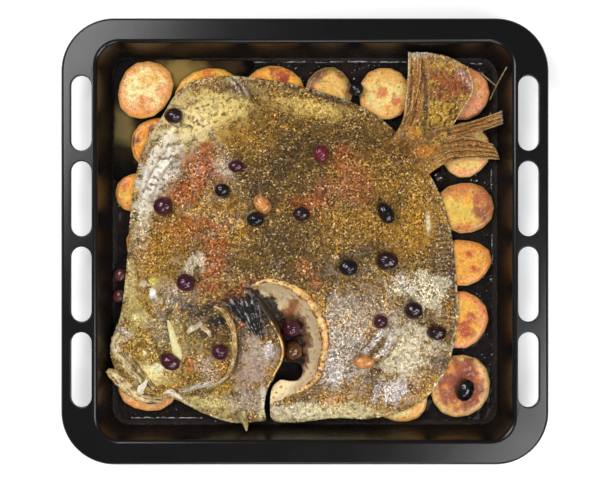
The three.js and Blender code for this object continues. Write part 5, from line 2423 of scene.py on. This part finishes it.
@dataclass
class PanJuices:
    """The pool in the back left corner and the thin film on the floor beside it."""

    finish: bpy.types.Material = field(default_factory=lambda: JuiceFinish().build())
    deep: Rgb = (34, 27, 16)
    patches: tuple[SkinZone, ...] = tuple(SkinZone(*row) for row in (
        ((138, 112, 62), (-118, 158), (24, 16), 0, 0.95, 0.3),
        ((112, 98, 58), (-176, 112), (12, 18), 20, 0.9, 0.3),
        ((120, 100, 52), (-150, 86), (14, 20), 20, 0.8, 0.3),
        ((132, 78, 24), (-176, 34), (9, 24), 0, 0.8, 0.3),
        ((58, 44, 28), (-62, 166), (24, 14), 0, 0.9, 0.3),
        ((9, 8, 8), (-176, 160), (20, 20), 0, 1, 0.3),
        ((12, 10, 9), (-186, 130), (6, 34), 0, 1, 0.3),
    ))

    def build(self) -> None:
        """Builds the pool."""
        pool = remeshed("pan_juices", "juice_pool", 1.0, 4, self.finish)
        points = vertices_of(pool.data)
        rough = Unevenness(67).layered(points, 16, 3)
        tone = linear(self.deep)
        for patch in self.patches:
            tone = blend(tone, patch.tone, patch.share(points, rough))
        tone = blend(tone, (12, 10, 9), ease(points[:, 0] + 12 * rough, -74, -52))
        tone = blend(tone, (12, 10, 9), ease(-points[:, 1] + 12 * rough, -84, -62))
        paint(pool.data, {"tone": tone})
        fit(pool, "pan_juices", "pan_juices")


@dataclass
class Scatter:
    """Many small uneven bits joined into one piece."""

    name: str
    slot: str
    finish: bpy.types.Material
    seed: int
    tones: tuple[Rgb, ...]

    def build(self, places: np.ndarray, sizes: np.ndarray, flatness: float) -> None:
        """Builds the bits.

        Args:
            places: Where each one lies: rows of x, y and z.
            sizes: Each one's half length.
            flatness: Its height as a share of its length.
        """
        random = np.random.default_rng(self.seed)
        ball = bmesh.new()
        bmesh.ops.create_icosphere(ball, subdivisions=1, radius=1)
        unit = np.array([v.co[:] for v in ball.verts])
        faces = np.array([[v.index for v in face.verts] for face in ball.faces])
        ball.free()
        count = len(places)
        stretch = random.uniform((0.6, 0.35, 0.6), (1.2, 0.9, 1.2), (count, 3)) * (1, 1, flatness)
        turn = random.uniform(0, 2 * np.pi, count)
        lean = random.normal(0, 0.25, (count, 2))
        dented = unit[None] * (1 + random.uniform(-0.28, 0.28, (count, len(unit), 1)))
        local = dented * stretch[:, None] * sizes[:, None, None]
        c, s = np.cos(turn)[:, None], np.sin(turn)[:, None]
        x = local[..., 0] * c - local[..., 1] * s
        y = local[..., 0] * s + local[..., 1] * c
        z = local[..., 2] + x * lean[:, :1] + y * lean[:, 1:]
        points = np.stack([x, y, z], -1) + places[:, None]
        all_faces = (faces[None] + np.arange(count)[:, None, None] * len(unit)).reshape(-1, 3)
        palette = np.array([linear(tone) for tone in self.tones])
        tone = np.repeat(palette[random.integers(0, len(palette), count)], len(unit), axis=0)
        tone = tone * np.repeat(random.uniform(0.6, 1.3, count), len(unit))[:, None]
        points = points.reshape(-1, 3)
        piece = make_piece(self.name, points, all_faces, self.finish, {"tone": tone})
        fit(piece, self.slot)


@dataclass
class Seasoning:
    """Pepper and dried herbs on the skin, and burnt crumbs on the tray's floor, among them pale
    bits that are painted glints.
    """

    flecks: int = 3000
    crumbs: int = 4200

    def on_fish(self, turbot: Turbot) -> None:
        """Scatters herbs over the skin.

        Args:
            turbot: The fish.
        """
        random = np.random.default_rng(71)
        low, high = turbot.form.outline.min(0), turbot.form.outline.max(0)
        spots = random.uniform(low, high, (int(self.flecks * 1.6), 2))
        spots = spots[inside_loop(spots, turbot.form.shore)]
        height, found = turbot.surface_height(spots)
        good = (found["inward"] > 2) & ((found["across"] < -0.05) | (found["across"] > 1.1))
        spots, height = spots[good][: self.flecks], height[good][: self.flecks]
        sizes = random.uniform(0.3, 0.75, len(spots))
        Scatter("fish_seasoning", "turbot_skin", CrumbFinish("herb_flecks", 0.45).build(), 72, (
            (224, 196, 128), (176, 136, 62), (150, 106, 44), (96, 66, 28), (44, 30, 14),
            (60, 42, 20),
        )).build(np.column_stack([spots, height + 0.05]), sizes, 0.5)

    def on_floor(self, tray: OvenTray, film: "BurntFilm", turbot: Turbot) -> None:
        """Scatters crumbs and painted glints, most of them near the walls.

        Args:
            tray: The tray.
            film: The burnt crust, which they lie on.
            turbot: The fish, which covers most of the floor.
        """
        random = np.random.default_rng(81)
        half = np.array([tray.opening_half_length - 14, tray.opening_half_width - 14])
        spots = random.uniform(-half, half, (self.crumbs * 5, 2))
        spots = spots[~inside_loop(spots, turbot.form.outline)]
        weight = np.clip(0.35 + Unevenness(82).layered(level(spots), 26, 2), 0, 1)
        weight = weight * np.where((spots[:, 0] > 80) | (spots[:, 1] > 120), 1, 0.35)
        spots = spots[random.uniform(0, 1, len(spots)) < weight][: self.crumbs]
        sizes = random.uniform(0.3, 1.3, len(spots)) * random.uniform(0.5, 1, len(spots))
        places = np.column_stack([spots, film.height(spots, tray) + 0.25 * sizes])
        # The pale bluish tones are painted glints; the dark and brown ones are crumbs.
        Scatter("tray_crumbs_and_glints", "enamel", CrumbFinish("burnt_crumbs_and_glints", 0.25).build(), 83, (
            (14, 11, 10), (20, 15, 12), (40, 26, 16), (16, 14, 16), (150, 112, 64),
            (214, 214, 220), (110, 114, 126), (226, 228, 236), (16, 12, 12),
        )).build(places, sizes, 0.7)


@dataclass
class BurntFilm:
    """The crust of burnt fat that covers the tray's floor."""

    step: float = 2.2
    inset: float = -8.4
    finish: bpy.types.Material = field(default_factory=lambda: BurntFinish().build())
    uneven: Unevenness = field(default_factory=lambda: Unevenness(61))

    def height(self, spots: np.ndarray, tray: OvenTray) -> np.ndarray:
        """Works out the crust's upper surface.

        Args:
            spots: Rows that start with x and y.
            tray: The tray that it covers.

        Returns:
            The heights.
        """
        flat = level(spots)
        rough = self.uneven.layered(flat, 12, 3)
        fine = self.uneven.layered(flat + 50, 5, 2)
        rise = 0.16 + 0.5 * ease(rough, 0.1, 0.8) + 0.3 * ease(fine, 0.1, 0.7)
        border = nearest(flat, tray.ring(self.inset - 2, 0))[0]
        return tray.sheet + 0.05 + (rise - 0.05) * ease(border, 0, 6)

    def build(self, tray: OvenTray) -> None:
        """Builds the crust as one thin closed mesh.

        Args:
            tray: The tray that it covers.
        """
        edge = tray.ring(self.inset - 2, 0)
        xs = np.arange(edge[:, 0].min(), edge[:, 0].max(), self.step)
        ys = np.arange(edge[:, 1].min(), edge[:, 1].max(), self.step)
        x, y = (grid.ravel() for grid in np.meshgrid(xs, ys))
        spots = np.column_stack([x, y, 0 * x])
        inside = inside_loop(spots, edge).reshape(len(ys), len(xs))
        cells = inside[:-1, :-1] & inside[1:, :-1] & inside[:-1, 1:] & inside[1:, 1:]
        row, column = np.nonzero(cells)
        corner = row * len(xs) + column
        top = np.column_stack([corner, corner + 1, corner + 1 + len(xs), corner + len(xs)])
        count = len(spots)
        sides: dict[tuple[int, int], tuple[int, int]] = {}
        for quad in top.tolist():
            for a, b in zip(quad, quad[1:] + quad[:1]):
                if sides.pop((b, a), None) is None:
                    sides[(a, b)] = (a, b)
        band = [[a, a + count, b + count, b] for a, b in sides]
        rough = self.uneven.layered(spots, 12, 3)
        height = self.height(spots, tray)
        bottom = np.full(count, tray.sheet - 0.1)
        points = np.vstack([np.column_stack([x, y, height]), np.column_stack([x, y, bottom])])
        faces = np.vstack([top, top[:, ::-1] + count, np.array(band)])
        used = np.unique(faces)
        order = np.zeros(len(points), int)
        order[used] = np.arange(len(used))
        tone = blend((13, 10, 9), (34, 20, 12), np.tile(ease(rough, -0.2, 0.5), 2))[used]
        piece = make_piece("burnt_film", points[used], order[faces], self.finish, {"tone": tone})
        fit(piece, "enamel")


@dataclass
class FilletHighlightLine:
    """The broken pale line along the foot of the walls, a painted highlight where the light
    catches the floor's fillet.
    """

    radius: float = 0.46
    stretches: tuple[tuple[Place, Place], ...] = (
        ((-126, 172), (-112, 172)), ((-72, 171), (-36, 171)), ((-20, 171), (0, 171.5)),
        ((10, 171), (36, 171.5)), ((41, 171.5), (97, 171)), ((157, 170), (169, 169.5)),
        ((178, 69), (178, 50)), ((178.5, 6), (179, -22)), ((-166, -168.5), (-98, -168.5)),
    )

    def build(self, tray: OvenTray, film: BurntFilm) -> None:
        """Builds every stretch as one piece that lies on the crust.

        Args:
            tray: The tray, whose fillet the line follows.
            film: The crust on its floor.
        """
        section, uneven = tray.section(), Unevenness(93)
        parts = []
        for ends in self.stretches:
            route = spaced(np.array(ends, float), 0.6, False)
            rough = uneven.layered(level(route), 7, 3)
            route = route + 0.5 * rough[:, None]
            out = np.abs(route) - (tray.opening_half_length, tray.opening_half_width)
            fillet = np.interp(out.max(1), section[:, 0], section[:, 1])
            height = np.maximum(fillet, film.height(route, tray)) + 0.15
            radii = self.radius * (0.25 + 0.75 * ease(rough, -0.35, 0.2))
            line = np.column_stack([route, height])
            parts.append(Sweep(line, radii, 8, 0.7).mesh()[:2])
        points, faces = joined(parts)
        fine = uneven.layered(points, 3, 2)
        # Bluish white painted highlight, greyer in places.
        tone = blend((214, 218, 228), (74, 74, 80), ease(fine, 0, 0.6))
        finish = CrumbFinish("fillet_highlight_paint", 0.3).build()
        fit(make_piece("tray_fillet_highlight", points, faces, finish, {"tone": tone}), "enamel")


@dataclass
class HerbStem:
    """The dried stem that leans in the back right corner, with its side twig."""

    radius: float = 0.6
    stem: tuple[Spot, ...] = ((176, 134, 3.4), (180.5, 146.5, 14), (186.4, 161, 34.2))
    twig: tuple[Spot, ...] = ((180.5, 146.5, 14), (172.5, 154, 11.6), (165, 160.5, 10.8))

    def build(self) -> None:
        """Builds both as one piece."""
        parts = []
        for line in (self.stem, self.twig):
            route = spaced(smooth_curve(np.array(line), False), 0.8, False)
            knots = 1 + 0.3 * np.exp(-((np.arange(len(route)) % 9 - 4) ** 2) / 2)
            parts.append(Sweep(route, self.radius * knots, 10, 1.0, 3, 0.1).mesh()[:2])
        points, faces = joined(parts)
        rough = Unevenness(91).layered(points, 3, 2)
        tone = blend((176, 158, 112), (96, 74, 42), ease(rough, -0.2, 0.7))
        finish = CrumbFinish("dried_stem", 0.6).build()
        piece = make_piece("herb_twig", points, faces, finish, {"tone": tone})
        fit(piece, "dried_herb", "herb_stem")


# ------------------------------------------------------------------ studio


@dataclass
class SoftBox:
    """A square studio light that looks at the dish."""

    name: str
    at: Spot
    side: float
    power: float
    tint: Rgb = (255, 255, 255)

    def build(self) -> None:
        """Makes the light."""
        light = bpy.data.lights.new(self.name, "AREA")
        light.shape, light.size = "SQUARE", self.side * MM
        light.energy = self.power
        light.color = tuple(linear(self.tint))
        lamp = bpy.data.objects.new(self.name, light)
        lamp.location = Vector(self.at) * MM
        lamp.rotation_euler = (-lamp.location).to_track_quat("-Z", "Y").to_euler()
        bpy.context.scene.collection.objects.link(lamp)


@dataclass
class Studio:
    """The pale floor, the soft lights and the camera straight above the dish."""

    camera_height: float = 1000
    camera_shift: Place = (-1.3, 1.3)
    scale_at_rim: float = 0.92
    rim: float = 38
    sensor: float = 36
    boxes: tuple[SoftBox, ...] = (
        SoftBox("box_back_left", (-620, 420, 980), 640, 9.5),
        SoftBox("box_front_right", (640, -440, 980), 640, 8.0),
        SoftBox("box_front", (40, -860, 760), 460, 3.0),
    )
    fill: float = 0.16
    floor_reach: float = 4000
    floor_height: float = -0.3

    def build(self) -> None:
        """Builds them."""
        shader = Shader("pale_floor")
        shader.set(
            Base_Color=linear((250, 250, 250)), Roughness=0.9,
            Emission_Color=(1, 1, 1), Emission_Strength=0.35,
        )
        corners = np.array([(-1, -1), (1, -1), (1, 1), (-1, 1)]) * self.floor_reach
        corners = np.column_stack([corners, np.full(4, self.floor_height)])
        floor = make_piece("floor", corners, [[0, 1, 2, 3]], shader.material)
        for box in self.boxes:
            box.build()
        world = bpy.data.worlds.new("studio_fill")
        world.use_nodes = True
        world.node_tree.nodes["Background"].inputs["Color"].default_value = (1, 1, 1, 1)
        world.node_tree.nodes["Background"].inputs["Strength"].default_value = self.fill
        bpy.context.scene.world = world
        view = bpy.data.cameras.new("camera")
        view.sensor_width = self.sensor
        distance = self.camera_height - self.rim
        view.lens = self.sensor * distance / (IMAGE_WIDTH * self.scale_at_rim)
        camera = bpy.data.objects.new("camera", view)
        camera.location = Vector((*self.camera_shift, self.camera_height)) * MM
        bpy.context.scene.collection.objects.link(camera)
        bpy.context.scene.camera = camera
        bpy.context.scene.view_settings.view_transform = "Standard"
        log.info("studio built")


# ------------------------------------------------------------------ the dish


def main() -> None:
    """Builds the dish and the studio."""
    logging.basicConfig(level=logging.INFO, format="%(name)s: %(message)s")
    tray = OvenTray()
    tray.build()
    film = BurntFilm()
    film.build(tray)
    FilletHighlightLine().build(tray, film)
    log.info("tray built")
    turbot = Turbot()
    turbot.build()
    PotatoSlices().build()
    Olives().build()
    PanJuices().build()
    seasoning = Seasoning()
    seasoning.on_fish(turbot)
    seasoning.on_floor(tray, film, turbot)
    HerbStem().build()
    log.info("juices, seasoning, crumbs and herb stem built")
    Studio().build()


if __name__ == "__main__":
    main()
